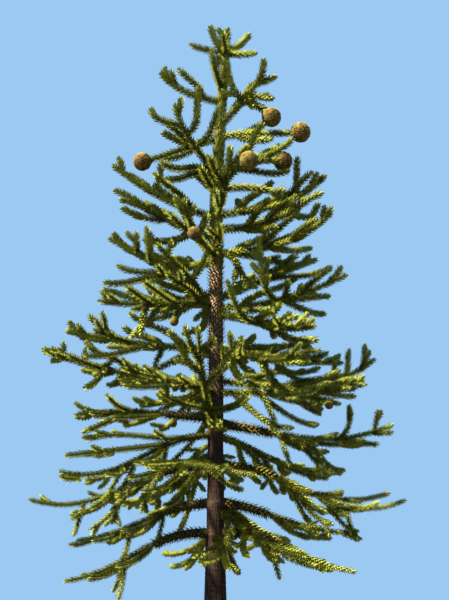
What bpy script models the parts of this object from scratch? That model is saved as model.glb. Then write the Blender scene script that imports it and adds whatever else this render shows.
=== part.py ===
"""Young monkey puzzle tree, whole, standing on level ground with its trunk's cut foot at the origin.

Metres, +Z up. +X is to the right and +Y away from the viewer. Branches leave the trunk in
whorls. The lower ones start as bare boughs, and each branch carries one mass of rope-like
shoots clothed in stiff pointed leaves. Every branch is one row of BRANCHES, and the same
seeded rule turns each row into an axis, its side shoots and its cones.
"""

import math
import random

import bmesh
import bpy
import numpy as np

# Trunk: height and radius of the wood, from the cut foot through the root flare to the tip.
TRUNK_PROFILE = (
    (0.00, 0.172), (0.06, 0.150), (0.18, 0.130), (0.45, 0.114), (0.95, 0.103), (1.45, 0.094),
    (1.80, 0.082), (2.15, 0.071), (2.80, 0.064), (3.60, 0.057), (4.40, 0.049), (5.10, 0.039),
    (5.70, 0.031), (6.10, 0.024),
)
TRUNK_TOP = 6.10
TRUNK_SIDES = 12
LEAN_START = 4.60
TOP_LEAN = 0.075
LEAFY_TRUNK_FROM = 4.45
TRUNK_LEAF_PROUD = 0.026

# Shoots: a slim core with leaves that stand out of it.
SHOOT_SIDES = 3
CORE_RADIUS = 0.024
TIP_CORE_RADIUS = 0.020
TIP_LENGTH = 0.022
LEAF_REACH = 0.035
LEAF_LEAN = 0.012
SPRAY_STEP = 0.230
ROOT_RADIUS = 0.025
SHOOT_ROOT_RADIUS = 0.010
BARE_ROOT = 0.05
FORK_ROOM = 0.040
LEAF_SAMPLES = (0.25, 0.5, 0.75, 1.0)

# Boughs: the bare inner part of the low branches.
BOUGH_SIDES = 6
BOUGH_RINGS = 4
BOUGH_ROOT_RADIUS = 0.036
BOUGH_TIP_RADIUS = 0.029
SHARP_ANGLE = 50

# Cones: nearly round.
CONE_SEGMENTS = 7
CONE_RINGS = 5

# Side shoots: length at the branch's tip and what each metre left of the branch adds, both
# varied by a share, then the angles (degrees) from the branch at the root and at the tip.
SIDE_LENGTH = 0.14
SIDE_LENGTH_PER_METRE = 0.46
LENGTH_SHARES = (0.85, 1.15)
SPREAD_AT_ROOT = (40, 58)
SPREAD_AT_TIP = (14, 34)
ROOT_LIFT_SHARE = 1.1
TIP_LIFT_SHARE = 0.6
TIP_UPTURN = (6, 30)

# Lengths of the other shoots, and how far they lean to either side.
SHORT_SIDE = (0.13, 0.19)
UPRIGHT = (0.24, 0.30)
SHORT_UPRIGHT = (0.14, 0.18)
HANGING = (0.24, 0.30)
SHORT_HANGING = (0.15, 0.20)
LEAN_ASIDE = (-0.35, 0.35)

# Room kept between neighbours.
FACE_GAP = 0.0003
NEIGHBOUR_GAP = 0.004
PATH_STEP = 0.02
HANDLE_SHARE = 0.4
CURVE_STEPS = 60

FIRST_STATION = 0.34
LAST_STATION = 0.86
PAST_BOUGH = 0.05
STATION_SHIFT = 0.03
SEED = "monkey puzzle"
UP = np.array([0.0, 0.0, 1.0])

# How far side shoots droop or lift (degrees) at each height up the trunk.
SHOOT_LIFT = (
    (2.0, -30), (2.7, -24), (3.2, -12), (3.6, 0), (4.1, 10), (4.6, 22), (5.2, 32), (6.0, 42),
)

# The branches, numbered by whorl from the ground up. Each row: name, height on the trunk,
# azimuth, reach, rise of the tip, pitch at the root and at the tip (degrees), share that is
# bare bough, and the shoots at its stations. L R are side shoots, l r short ones, U u upright
# ones, D d hanging ones.
BRANCHES = (
    ("01_left", 2.09, 194, 1.16, -0.36, 8, -8, 0.38, "LR DLR Lrd"),
    ("01_right", 2.09, -16, 1.09, -0.29, 8, -8, 0.36, "LRD LR lr"),
    ("01_front", 2.05, -84, 0.92, -0.24, 0, -15, 0.0, "LR Rd l"),
    ("01_back", 2.10, 104, 1.08, -0.24, 5, -5, 0.0, "LR LR lr"),
    ("02_left", 2.33, 172, 1.10, -0.28, 0, -5, 0.34, "LRD LRuD LR"),
    ("02_right", 2.34, 6, 1.13, -0.22, -5, 6, 0.34, "LR LRd LR"),
    ("02_front_right", 2.27, -50, 1.00, -0.38, -20, -8, 0.0, "LR LR lr"),
    ("02_back", 2.30, 58, 1.18, -0.22, 0, 5, 0.0, "LR LRd lr"),
    ("03_left", 2.62, 180, 1.46, -0.26, 4, 18, 0.30, "RD DR D l"),
    ("03_right", 2.62, -2, 1.48, -0.27, 3, 24, 0.30, "LR R D r"),
    ("03_front_left", 2.62, -116, 1.12, -0.10, 0, -5, 0.0, "LR LRd lr"),
    ("03_back", 2.60, 128, 1.30, -0.18, 0, 8, 0.0, "LR LRd lr"),
    ("04_left", 3.00, 176, 1.13, 0.04, 4, -6, 0.34, "LR LR R"),
    ("04_left_low", 2.86, 206, 1.28, -0.34, 0, 12, 0.0, "L LR L"),
    ("04_right", 2.96, 4, 1.42, 0.00, -8, 24, 0.30, "LRD LRD uLR ulr"),
    ("04_right_low", 2.86, 40, 1.18, -0.18, -6, 12, 0.0, "LR LR LR"),
    ("04_front", 2.90, -98, 0.90, 0.64, 12, 62, 0.0, "LR lr"),
    ("04_back", 2.84, 92, 1.24, -0.12, 0, 10, 0.0, "LR LRd lr"),
    ("05_left", 3.22, 177, 1.40, 0.34, 12, 20, 0.30, "LRD LR LR"),
    ("05_right", 3.20, -14, 1.20, 0.02, 0, 8, 0.0, "DLR dLR LRd lr"),
    ("05_right_high", 3.30, 10, 1.33, 0.22, -4, 38, 0.0, "LR LR uLR ulr"),
    ("05_front_left", 3.20, -128, 1.10, 0.04, 8, 5, 0.0, "LR LR lr"),
    ("05_back", 3.22, 114, 1.24, 0.12, 5, 14, 0.0, "LR LR lr"),
    ("06_left", 3.55, 176, 1.22, 0.18, 5, 14, 0.0, "Rd LR LR lr"),
    ("06_right", 3.55, 22, 1.14, -0.02, 0, 4, 0.0, "LR LR lr"),
    ("06_front_right", 3.54, -48, 0.96, -0.16, -6, 10, 0.0, "LR LRd lr"),
    ("06_back", 3.56, 78, 1.14, 0.16, 8, 15, 0.0, "LR LR lr"),
    ("07_left", 3.95, 172, 0.90, 0.58, 34, 30, 0.0, "R R LR lr"),
    ("07_left_low", 3.92, 202, 0.98, -0.05, 5, 4, 0.0, "LR LR lr"),
    ("07_right_high", 3.97, 22, 0.92, 0.44, 26, 24, 0.0, "R ULR lr"),
    ("07_right", 3.90, -4, 1.06, 0.26, 2, 26, 0.0, "uL LR lr"),
    ("07_front_right", 3.84, -38, 0.96, -0.22, -8, 4, 0.0, "L LR lr"),
    ("07_back", 3.94, 118, 1.02, 0.26, 12, 20, 0.0, "LR LR lr"),
    ("08_right", 4.35, 2, 0.96, 0.38, 10, 48, 0.0, "ULR uLR lr"),
    ("08_left", 4.50, 162, 0.86, 0.42, 14, 18, 0.0, "LR LR lr"),
    ("08_front", 4.32, -108, 0.78, 0.26, 10, 58, 0.0, "LR LR lr"),
    ("08_back", 4.30, 130, 0.86, 0.18, 6, 30, 0.0, "LR LR lr"),
    ("09_left", 4.67, 184, 0.86, 0.44, 16, 38, 0.0, "LR uLR lr"),
    ("09_right", 4.69, 6, 0.90, 0.36, 12, 44, 0.0, "LR uLR lr"),
    ("09_right_low", 4.57, -26, 0.80, 0.15, -6, 36, 0.0, "LR lr"),
    ("09_front", 4.66, -80, 0.66, 0.38, 24, 62, 0.0, "LR LRl"),
    ("10_left", 5.00, 225, 0.49, 0.53, 50, 72, 0.0, "l"),
    ("10_left_low", 5.37, 191, 0.62, -0.24, -14, -18, 0.0, "LR d"),
    ("10_right", 5.06, -20, 0.66, 0.22, 18, 40, 0.0, "LR LR"),
    ("10_back", 4.92, 102, 0.66, 0.44, 26, 58, 0.0, "LR LR"),
    ("11_right", 5.38, -4, 0.70, 0.04, 14, 8, 0.0, "LR lr"),
    ("11_right_high", 5.48, -24, 0.40, 0.42, 46, 56, 0.0, "r lr"),
    ("12_left", 5.70, 182, 0.52, 0.26, 12, 48, 0.0, "r lr"),
    ("12_front", 5.80, -112, 0.24, 0.28, 40, 82, 0.0, "lr"),
)

# The leader above the trunk's tip, and the short shoots of its whorl: azimuth, reach, rise,
# pitch at the root and at the tip.
LEADER_TOP = 6.38
LEADER_SHOOTS = (
    (190, 0.30, 0.07, 20, 25), (165, 0.13, 0.28, 60, 82),
    (-8, 0.26, 0.00, 5, 8), (20, 0.22, 0.23, 45, 60),
    (-95, 0.22, 0.10, 30, 45), (88, 0.24, 0.14, 30, 50),
)
LEADER_FORK = 2

# Shoots that stand apart: branch, share of its axis where the shoot leaves, where it ends
# and its pitch there.
LONE_SHOOTS = (
    ("03_front_left", 0.55, (0.30, -0.95, 2.45), -8),
    ("03_front_left", 0.40, (0.20, -0.72, 2.37), -12),
    ("03_right", 0.52, (1.38, 0.15, 2.42), 18),
    ("03_right", 0.36, (0.83, -0.10, 2.24), -30),
    ("03_right", 0.34, (0.75, 0.12, 2.20), -25),
    ("04_left_low", 0.18, (-0.99, -0.30, 2.79), -18),
    ("04_left_low", 0.30, (-1.10, -0.62, 2.63), -10),
    ("04_left", 0.58, (-0.85, -0.20, 3.15), 35),
    ("04_left", 0.50, (-0.99, -0.25, 2.87), -20),
    ("04_right", 0.66, (1.08, 0.00, 3.06), 82),
    ("04_front", 0.66, (-0.35, -0.80, 3.54), 40),
    ("04_front", 0.76, (-0.22, -0.92, 3.54), 62),
    ("04_front", 0.58, (0.17, -0.80, 3.46), 45),
    ("05_left", 0.66, (-0.83, 0.00, 3.49), 62),
    ("05_left", 0.76, (-1.05, -0.02, 3.56), 84),
    ("05_left", 0.86, (-1.24, 0.05, 3.62), 78),
    ("05_left", 0.60, (-1.02, -0.22, 3.21), -8),
    ("05_right_high", 0.76, (1.09, 0.14, 3.58), 72),
    ("05_right_high", 0.88, (1.22, 0.14, 3.62), 84),
    ("06_left", 0.32, (-1.03, -0.25, 3.46), 4),
    ("07_left", 0.28, (-0.07, -0.24, 4.31), 62),
    ("07_left", 0.34, (-0.89, -0.20, 4.06), 2),
    ("07_left", 0.56, (-0.36, -0.14, 4.43), 74),
    ("07_left", 0.62, (-0.57, -0.06, 4.57), 50),
    ("07_left", 0.60, (-0.55, 0.16, 4.58), 85),
    ("07_left", 0.74, (-0.66, 0.02, 4.55), 80),
    ("07_left_low", 0.50, (-0.91, -0.12, 4.02), 8),
    ("07_left_low", 0.56, (-0.58, -0.36, 3.60), -84),
    ("07_right", 0.46, (0.34, -0.20, 4.44), 74),
    ("07_right", 0.48, (0.93, 0.08, 4.02), 6),
    ("07_right", 0.50, (0.58, -0.16, 4.09), 60),
    ("07_right", 0.62, (0.69, -0.16, 4.05), 45),
    ("07_right_high", 0.45, (0.95, 0.03, 4.25), 25),
    ("07_front_right", 0.22, (0.79, -0.42, 3.55), 8),
    ("07_front_right", 0.40, (0.09, -0.45, 4.01), 62),
    ("08_left", 0.50, (-0.86, 0.12, 4.95), 12),
    ("08_right", 0.04, (0.26, -0.15, 4.07), -45),
    ("08_right", 0.10, (0.58, 0.15, 4.33), 5),
    ("08_right", 0.60, (0.86, 0.08, 4.82), 55),
    ("09_left", 0.62, (-0.46, -0.06, 5.12), 86),
    ("10_left", 0.06, (-0.41, -0.20, 4.94), 0),
    ("10_left", 0.10, (-0.44, -0.30, 5.05), 30),
    ("10_left", 0.74, (-0.53, -0.36, 5.49), 85),
    ("10_left", 0.66, (-0.13, -0.30, 5.72), 66),
    ("09_front", 0.50, (0.53, -0.25, 4.78), -20),
    ("09_front", 0.80, (0.25, -0.58, 5.08), 40),
    ("10_left_low", 0.26, (0.01, -0.22, 5.53), 62),
    ("09_right", 0.60, (0.69, 0.10, 5.24), 80),
    ("09_right", 0.70, (0.85, 0.04, 5.08), 66),
    ("09_right_low", 0.72, (0.85, -0.40, 4.75), 10),
    ("10_right", 0.12, (0.60, -0.12, 5.04), 15),
    ("11_right_high", 0.52, (0.09, -0.16, 6.00), 84),
    ("11_right_high", 0.55, (0.31, -0.27, 5.55), -35),
    ("11_right_high", 0.60, (0.43, -0.10, 5.73), 45),
    ("11_right_high", 0.84, (0.40, -0.22, 5.99), 88),
    ("11_right_high", 0.80, (0.50, -0.12, 5.88), 24),
    ("12_left", 0.78, (-0.44, -0.04, 6.00), 88),
)

# The cones: branch, share of its axis where the shoot leaves (1 for the branch's own tip),
# centre and radius.
CONES = (
    ("11_right_high", 0.40, (0.46, -0.20, 5.48), 0.080),
    ("11_right", 1.0, (0.71, -0.04, 5.41), 0.084),
    ("10_right", 0.45, (0.56, -0.02, 5.16), 0.080),
    ("09_front", 0.60, (0.26, -0.62, 4.94), 0.074),
    ("10_left_low", 1.0, (-0.61, -0.12, 5.12), 0.076),
    ("08_front", 0.45, (-0.16, -0.73, 4.31), 0.052),
    ("05_right", 0.50, (0.87, -0.40, 3.04), 0.032),
    ("07_left_low", 0.42, (-0.53, -0.20, 3.73), 0.037),
    ("07_left_low", 0.22, (-0.33, -0.20, 3.74), 0.035),
)


def ramp(value, stops):
    """The value read off a list of (place, height) stops joined by straight lines."""
    places, heights = zip(*stops)
    return float(np.interp(value, places, heights))


def trunk_centre(height):
    """The trunk's centre line leans a little to the right above LEAN_START."""
    above = max(0.0, height - LEAN_START) / (TRUNK_TOP - LEAN_START)
    return np.array([TOP_LEAN * above ** 1.5, 0.0, height])


def heading(azimuth, pitch):
    """Unit vector at an azimuth about Z and a pitch above the horizon, in degrees."""
    turn, lift = math.radians(azimuth), math.radians(pitch)
    return np.array([
        math.cos(lift) * math.cos(turn),
        math.cos(lift) * math.sin(turn),
        math.sin(lift),
    ])


def unit(vector):
    return vector / np.linalg.norm(vector)


def even_steps(points, step):
    """The same polyline with its points spaced evenly, about one step apart."""
    lengths = np.r_[0.0, np.cumsum(np.linalg.norm(np.diff(points, axis=0), axis=1))]
    count = max(1, round(lengths[-1] / step)) + 1
    places = np.linspace(0.0, lengths[-1], count)
    return np.column_stack([np.interp(places, lengths, points[:, k]) for k in range(3)])


def branch_axis(start, azimuth, reach, rise, root_pitch, tip_pitch):
    """One cubic curve from the trunk's centre line to the branch's tip."""
    end = start + reach * heading(azimuth, 0) + np.array([0.0, 0.0, rise])
    handle = HANDLE_SHARE * math.hypot(reach, rise)
    root_handle = start + handle * heading(azimuth, root_pitch)
    tip_handle = end - handle * heading(azimuth, tip_pitch)
    t = np.linspace(0.0, 1.0, CURVE_STEPS)[:, None]
    curve = (
        (1 - t) ** 3 * start + 3 * (1 - t) ** 2 * t * root_handle
        + 3 * (1 - t) * t ** 2 * tip_handle + t ** 3 * end
    )
    return even_steps(curve, PATH_STEP)


def bend(start, first, last, length):
    """A path that leaves along one direction and ends along another."""
    count = max(3, round(length / PATH_STEP))
    points = [np.array(start)]
    for i in range(count):
        share = (i + 0.5) / count
        points.append(points[-1] + unit(first + (last - first) * share) * length / count)
    return np.array(points)


def frame_at(points, index):
    """Forward, level forward, left-hand and upward directions of a path at one of its points."""
    ahead = points[min(index + 1, len(points) - 1)] - points[max(index - 1, 0)]
    forward = unit(ahead)
    flat = np.array([forward[0], forward[1], 0.0])
    side = unit(np.array([-flat[1], flat[0], 0.0]))
    return forward, unit(flat), side, unit(np.cross(forward, side))


def side_shoot(points, index, letter, remaining, draw):
    """The path of the shoot that one letter asks for."""
    if letter in "LRlr":
        return spreading_shoot(points, index, letter, remaining, draw)
    forward, flat, side, up = frame_at(points, index)
    aside = side * draw.uniform(*LEAN_ASIDE)
    if letter in "Uu":
        length = draw.uniform(*(UPRIGHT if letter == "U" else SHORT_UPRIGHT))
        return bend(points[index], unit(0.7 * forward + up), unit(UP + aside + 0.1 * flat), length)
    length = draw.uniform(*(HANGING if letter == "D" else SHORT_HANGING))
    return bend(points[index], unit(0.5 * forward - up), unit(0.35 * flat + aside - UP), length)


def spreading_shoot(points, index, letter, remaining, draw):
    """A shoot to the left or right that closes toward the branch and turns up at its tip."""
    forward, flat, side, _ = frame_at(points, index)
    lift = ramp(points[index][2], SHOOT_LIFT)
    hand = side if letter in "Ll" else -side
    length = (SIDE_LENGTH + SIDE_LENGTH_PER_METRE * remaining) * draw.uniform(*LENGTH_SHARES)
    if letter in "lr":
        length = draw.uniform(*SHORT_SIDE)
    spread = math.radians(draw.uniform(*SPREAD_AT_ROOT))
    close = math.radians(draw.uniform(*SPREAD_AT_TIP))
    root_lift = math.radians(lift * ROOT_LIFT_SHARE)
    tip_lift = math.radians(lift * TIP_LIFT_SHARE + draw.uniform(*TIP_UPTURN))
    first = forward * math.cos(spread) + hand * math.sin(spread) + UP * math.sin(root_lift)
    last = (flat * math.cos(close) + hand * math.sin(close)) * math.cos(tip_lift)
    return bend(points[index], unit(first), last + UP * math.sin(tip_lift), length)


def distance_to_paths(points, starts, ends):
    """Distance from each of the points to each of the segments."""
    along = ends - starts
    across = points[:, None, :] - starts[None]
    share = (across * along).sum(2) / np.maximum((along * along).sum(1), 1e-12)
    nearest = starts + np.clip(share, 0.0, 1.0)[..., None] * along
    return np.linalg.norm(points[:, None, :] - nearest, axis=2)


class Room:
    """The segments that stand already, with their owners, so that later shoots keep clear."""

    def __init__(self):
        self.starts, self.ends, self.radii, self.owners = [], [], [], []

    def add(self, points, radius, owner):
        self.starts.extend(points[:-1])
        self.ends.extend(points[1:])
        self.radii.extend([radius] * (len(points) - 1))
        self.owners.extend([owner] * (len(points) - 1))

    def is_clear(self, points, radius, owner, near_root):
        """Foreign limbs keep clear of the whole path, and the mass's own of its outer part."""
        starts, ends = np.array(self.starts), np.array(self.ends)
        need = np.array(self.radii) + radius + NEIGHBOUR_GAP
        own = np.array([other == owner for other in self.owners])
        gaps = distance_to_paths(points, starts, ends) - need
        if (gaps[:, ~own] < 0).any():
            return False
        outer = gaps[near_root:][:, own]
        return not (outer < 0).any()


def grow():
    """Axes first, then side shoots and cones where there is room for them."""
    room = Room()
    heights = np.arange(0.0, TRUNK_TOP, 0.1)
    for low, high in zip(heights[:-1], heights[1:]):
        trunk_part = np.array([trunk_centre(low), trunk_centre(high)])
        room.add(trunk_part, ramp(low, TRUNK_PROFILE), "trunk")
    branches = {}
    for name, height, azimuth, reach, rise, root_pitch, tip_pitch, bare, _ in BRANCHES:
        axis = branch_axis(trunk_centre(height), azimuth, reach, rise, root_pitch, tip_pitch)
        branches[name] = {"axis": axis, "bare": bare, "shoots": [], "cones": []}
        room.add(axis, LEAF_REACH, name)
    leader = np.array([trunk_centre(h) for h in np.arange(TRUNK_TOP, LEADER_TOP, PATH_STEP)])
    branches["leader"] = {"axis": leader, "bare": 0.0, "shoots": [], "cones": []}
    room.add(leader, LEAF_REACH, "leader")
    for azimuth, reach, rise, root_pitch, tip_pitch in LEADER_SHOOTS:
        path = branch_axis(leader[LEADER_FORK], azimuth, reach, rise, root_pitch, tip_pitch)
        branches["leader"]["shoots"].append(path)
        room.add(path, LEAF_REACH, "leader")
    for name, place, end, tip_pitch in LONE_SHOOTS:
        add_lone_shoot(branches[name], name, place, np.array(end), tip_pitch, room)
    for name, place, centre, radius in CONES:
        add_cone(branches[name], name, place, np.array(centre), radius, room)
    for name, *_, stations in reversed(BRANCHES):
        add_shoots(branches[name], name, stations.split(), room)
    return branches


def add_shoots(branch, name, stations, room):
    """Every station's shoots, skipping those with no room."""
    draw = random.Random(f"{SEED} {name}")
    axis = branch["axis"]
    length = PATH_STEP * (len(axis) - 1)
    first = max(FIRST_STATION, branch["bare"] + PAST_BOUGH)
    for place, letters in zip(np.linspace(first, LAST_STATION, len(stations)), stations):
        for letter in letters:
            shift = draw.uniform(-STATION_SHIFT, STATION_SHIFT)
            index = round((place + shift) * (len(axis) - 1))
            shoot = side_shoot(axis, index, letter, (1 - place) * length, draw)
            if room.is_clear(shoot, LEAF_REACH, name, len(shoot) // 2):
                branch["shoots"].append(shoot)
                room.add(shoot, LEAF_REACH, name)


def add_lone_shoot(branch, name, place, end, tip_pitch, room):
    """A shoot from a place on the axis to a given end, where it rises at tip_pitch."""
    axis = branch["axis"]
    index = round(place * (len(axis) - 1))
    reach = end - axis[index]
    azimuth = math.degrees(math.atan2(reach[1], reach[0]))
    root_pitch = math.degrees(math.asin(frame_at(axis, index)[0][2])) / 2
    level = math.hypot(reach[0], reach[1])
    path = branch_axis(axis[index], azimuth, level, reach[2], root_pitch, tip_pitch)
    branch["shoots"].append(path)
    room.add(path, LEAF_REACH, name)


def add_cone(branch, name, place, centre, radius, room):
    """A cone on the branch's tip, or on the end of a shoot that leaves the axis at a place."""
    axis = branch["axis"]
    if place < 1:
        index = round(place * (len(axis) - 1))
        forward = frame_at(axis, index)[0]
        reach = centre - axis[index]
        handle = HANDLE_SHARE * np.linalg.norm(reach)
        t = np.linspace(0.0, 1.0, CURVE_STEPS)[:, None]
        bent = axis[index] + 3 * (1 - t) ** 2 * t * handle * forward + t * t * (3 - 2 * t) * reach
        stalk = even_steps(bent, PATH_STEP)
        branch["shoots"].append(stalk)
        room.add(stalk, LEAF_REACH, name)
    branch["cones"].append((centre, radius))
    room.add(np.array([centre, centre + UP * FACE_GAP]), radius, name)


def rings_along(points, radii, sides, staggered, facing):
    """Rings of vertices round a path, each turned half a side from the last if staggered.

    facing holds the directions that the first and the last ring face, or None for the path's.
    """
    rings = []
    ahead = np.gradient(points, axis=0)
    for index, given in zip((0, -1), facing):
        if given is not None:
            ahead[index] = given
    normal = unit(np.cross(ahead[0], [0.13, 0.31, 0.94]))
    for index, (point, radius) in enumerate(zip(points, radii)):
        forward = unit(ahead[index])
        normal = unit(normal - forward * normal.dot(forward))
        other = np.cross(forward, normal)
        turn = math.pi / sides * (index if staggered else 0)
        angles = turn + np.arange(sides) * 2 * math.pi / sides
        spokes = np.outer(np.cos(angles), normal) + np.outer(np.sin(angles), other)
        rings.append(point + radius * spokes)
    return rings


def anywhere(corners):
    """A leaf may stand wherever its corners are."""
    return True


def tube(points, radii, sides, leaf=None, may_stand=anywhere, tip=None, facing=(None, None)):
    """Vertices and faces of a closed tube round a path.

    With leaf, the rings are staggered and every other side face rises to the point of a
    leaf, leaf metres from the path, that leans toward the tip. may_stand says which may.
    With tip, the tube ends in a point there, and otherwise in a flat face.
    """
    rings = rings_along(points, radii, sides, leaf is not None, facing)
    vertices = [vertex for ring in rings for vertex in ring]
    faces = [tuple(reversed(range(sides)))]
    for index in range(len(rings) - 1):
        low, high = index * sides, (index + 1) * sides
        ahead = unit(points[index + 1] - points[index])
        for side in range(sides):
            after = (side + 1) % sides
            front = high + side
            faces.append((front, low + after, high + after))
            if leaf is not None and leaf[index]:
                outward = unit(rings[index + 1][side] - points[index + 1])
                apex = points[index + 1] + leaf[index] * outward + LEAF_LEAN * ahead
                base = (rings[index][side], rings[index][after], rings[index + 1][side])
                if may_stand(np.array([*base, apex])):
                    vertices.append(apex)
                    point = len(vertices) - 1
                    faces.append((low + side, low + after, point))
                    faces.append((low + after, front, point))
                    faces.append((front, low + side, point))
                    continue
            faces.append((low + side, low + after, front))
    last = (len(rings) - 1) * sides
    if tip is None:
        faces.append(tuple(range(last, last + sides)))
    else:
        vertices.append(tip)
        point = len(vertices) - 1
        faces.extend((last + side, last + (side + 1) % sides, point) for side in range(sides))
    return vertices, faces


def shoot_tube(path, root_radius, bare_length=0.0, may_stand=anywhere, facing=(None, None)):
    """One shoot: a three-sided core whose leaves stand out all the way to its blunt tip."""
    length = PATH_STEP * (len(path) - 1)
    points = even_steps(path, length / max(1, round(length / SPRAY_STEP)))
    sections = len(points) - 1
    radii = np.linspace(root_radius, CORE_RADIUS, len(points))
    radii[-1] = TIP_CORE_RADIUS
    leaf = [
        LEAF_REACH if (k + 1) * length / sections > bare_length else 0
        for k in range(sections)
    ]
    tip = points[-1] + unit(points[-1] - points[-2]) * TIP_LENGTH
    return tube(points, radii, SHOOT_SIDES, leaf, may_stand, tip, facing)


def cone_mesh(centre, radius):
    """A nearly round seed cone."""
    mesh = bmesh.new()
    bmesh.ops.create_uvsphere(
        mesh, u_segments=CONE_SEGMENTS, v_segments=CONE_RINGS, radius=radius)
    bmesh.ops.triangulate(mesh, faces=mesh.faces)
    mesh.verts.index_update()
    vertices = [np.array(vertex.co) + centre for vertex in mesh.verts]
    faces = [tuple(vertex.index for vertex in face.verts) for face in mesh.faces]
    mesh.free()
    return vertices, faces


def add_object(name, shape, material=None, collection=None):
    """A new object from vertices and faces."""
    vertices, faces = shape
    mesh = bpy.data.meshes.new(name)
    mesh.from_pydata([tuple(vertex) for vertex in vertices], [], faces)
    mesh.validate()
    thing = bpy.data.objects.new(name, mesh)
    (collection or bpy.context.scene.collection).objects.link(thing)
    if material:
        mesh.materials.append(material)
    return thing


def apply_modifiers(thing):
    """Replaces an object's mesh by the one its modifiers make."""
    graph = bpy.context.evaluated_depsgraph_get()
    graph.update()
    mesh = bpy.data.meshes.new_from_object(thing.evaluated_get(graph))
    thing.modifiers.clear()
    old = thing.data
    thing.data = mesh
    mesh.name = thing.name
    bpy.data.meshes.remove(old)


def remove_object(thing):
    mesh = thing.data
    bpy.data.objects.remove(thing, do_unlink=True)
    bpy.data.meshes.remove(mesh)


def cut_root(thing, cutter):
    """Takes the trunk, with the gap round it, out of a limb's root."""
    cut = thing.modifiers.new("Clear of the trunk", "BOOLEAN")
    cut.operation = "DIFFERENCE"
    cut.object = cutter
    apply_modifiers(thing)


def joined(name, pieces, material):
    """One object from several overlapping closed pieces, by one union."""
    base = add_object(name, pieces[0], material)
    if len(pieces) > 1:
        others = bpy.data.collections.new(f"{name} pieces")
        bpy.context.scene.collection.children.link(others)
        for number, piece in enumerate(pieces[1:]):
            add_object(f"{name} piece {number}", piece, material, others)
        union = base.modifiers.new("Join", "BOOLEAN")
        union.operation = "UNION"
        union.operand_type = "COLLECTION"
        union.collection = others
        apply_modifiers(base)
        for piece in list(others.objects):
            remove_object(piece)
        bpy.data.collections.remove(others)
    return base


def finish_surface(name, colour, roughness):
    material = bpy.data.materials.new(name)
    material.use_nodes = True
    shader = material.node_tree.nodes["Principled BSDF"]
    shader.inputs["Base Color"].default_value = (*colour, 1.0)
    shader.inputs["Roughness"].default_value = roughness
    shader.inputs["Metallic"].default_value = 0.0
    return material


def shade_round(thing):
    thing.data.shade_smooth()
    thing.data.set_sharp_from_angle(angle=math.radians(SHARP_ANGLE))


def keeps_clear_of(paths, gap):
    """A test of whether a leaf, given by its corners, stands clear of all these paths."""
    if not paths:
        return anywhere
    starts = np.vstack([path[:-1] for path in paths])
    ends = np.vstack([path[1:] for path in paths])

    def may_stand(corners):
        base, apex = corners[:3], corners[3]
        along = [(1 - share) * base + share * apex for share in LEAF_SAMPLES]
        return distance_to_paths(np.vstack(along), starts, ends).min() > gap

    return may_stand


def trunk_rings():
    """Heights, centres and radii of the trunk's rings, closer together where it is leafy."""
    lower = [height for height, _ in TRUNK_PROFILE if height < LEAFY_TRUNK_FROM]
    count = round((TRUNK_TOP - LEAFY_TRUNK_FROM) / SPRAY_STEP)
    heights = lower + list(np.linspace(LEAFY_TRUNK_FROM, TRUNK_TOP, count))
    points = np.array([trunk_centre(height) for height in heights])
    return heights, points, np.array([ramp(height, TRUNK_PROFILE) for height in heights])


def make_trunk(branches, material):
    """Round tapered wood, its upper part set with leaves that keep clear of the branches."""
    axes = [branch["axis"] for branch in branches.values()]
    may_stand = keeps_clear_of(axes, LEAF_REACH + CORE_RADIUS)
    heights, points, radii = trunk_rings()
    leaf = [
        radii[k] + TRUNK_LEAF_PROUD if LEAFY_TRUNK_FROM <= heights[k] < heights[-2] else 0
        for k in range(len(heights) - 1)
    ]
    shape = tube(points, radii, TRUNK_SIDES, leaf, may_stand, facing=(UP, UP))
    shade_round(add_object("trunk", shape, material))


def make_root_cutter():
    """The trunk's own facets with the gap added, and no leaves."""
    _, points, radii = trunk_rings()
    radii = radii + FACE_GAP / math.cos(math.pi / TRUNK_SIDES)
    cutter = add_object("root_cutter", tube(points, radii, TRUNK_SIDES, [0] * (len(points) - 1)))
    cutter.hide_render = True
    cutter.display_type = "WIRE"
    return cutter


def make_bough(name, axis, first, cutter, material):
    """The bare inner part of a low branch, from the trunk to a flat end in its foliage."""
    points = even_steps(axis[:first + 1], PATH_STEP * first / BOUGH_RINGS)
    radii = np.linspace(BOUGH_ROOT_RADIUS, BOUGH_TIP_RADIUS, len(points))
    facing = (None, axis[first + 1] - axis[first])
    bough = add_object(f"bough_{name}", tube(points, radii, BOUGH_SIDES, facing=facing), material)
    cut_root(bough, cutter)
    shade_round(bough)


def make_foliage(name, branch, height, cutter, material):
    """One mass: the leafy part of a branch's axis with its shoots and cones fused on."""
    axis = branch["axis"]
    first = round(branch["bare"] * (len(axis) - 1))
    stem = np.array(axis[first:])
    facing = (stem[1] - stem[0], None)
    bare_length = 0.0
    if name == "leader":
        facing = (UP, None)
    if first or name == "leader":
        stem[0] += unit(facing[0]) * FACE_GAP
    else:
        bare_length = ramp(height, TRUNK_PROFILE) + BARE_ROOT
    may_stand = keeps_clear_of(branch["shoots"], FORK_ROOM)
    pieces = [shoot_tube(stem, ROOT_RADIUS, bare_length, may_stand, facing)]
    pieces += [shoot_tube(path, SHOOT_ROOT_RADIUS) for path in branch["shoots"]]
    pieces += [cone_mesh(centre, radius) for centre, radius in branch["cones"]]
    mass = joined(f"foliage_{name}", pieces, material)
    if not first and name != "leader":
        cut_root(mass, cutter)


def clear_scene():
    for thing in list(bpy.data.objects):
        bpy.data.objects.remove(thing, do_unlink=True)


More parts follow.
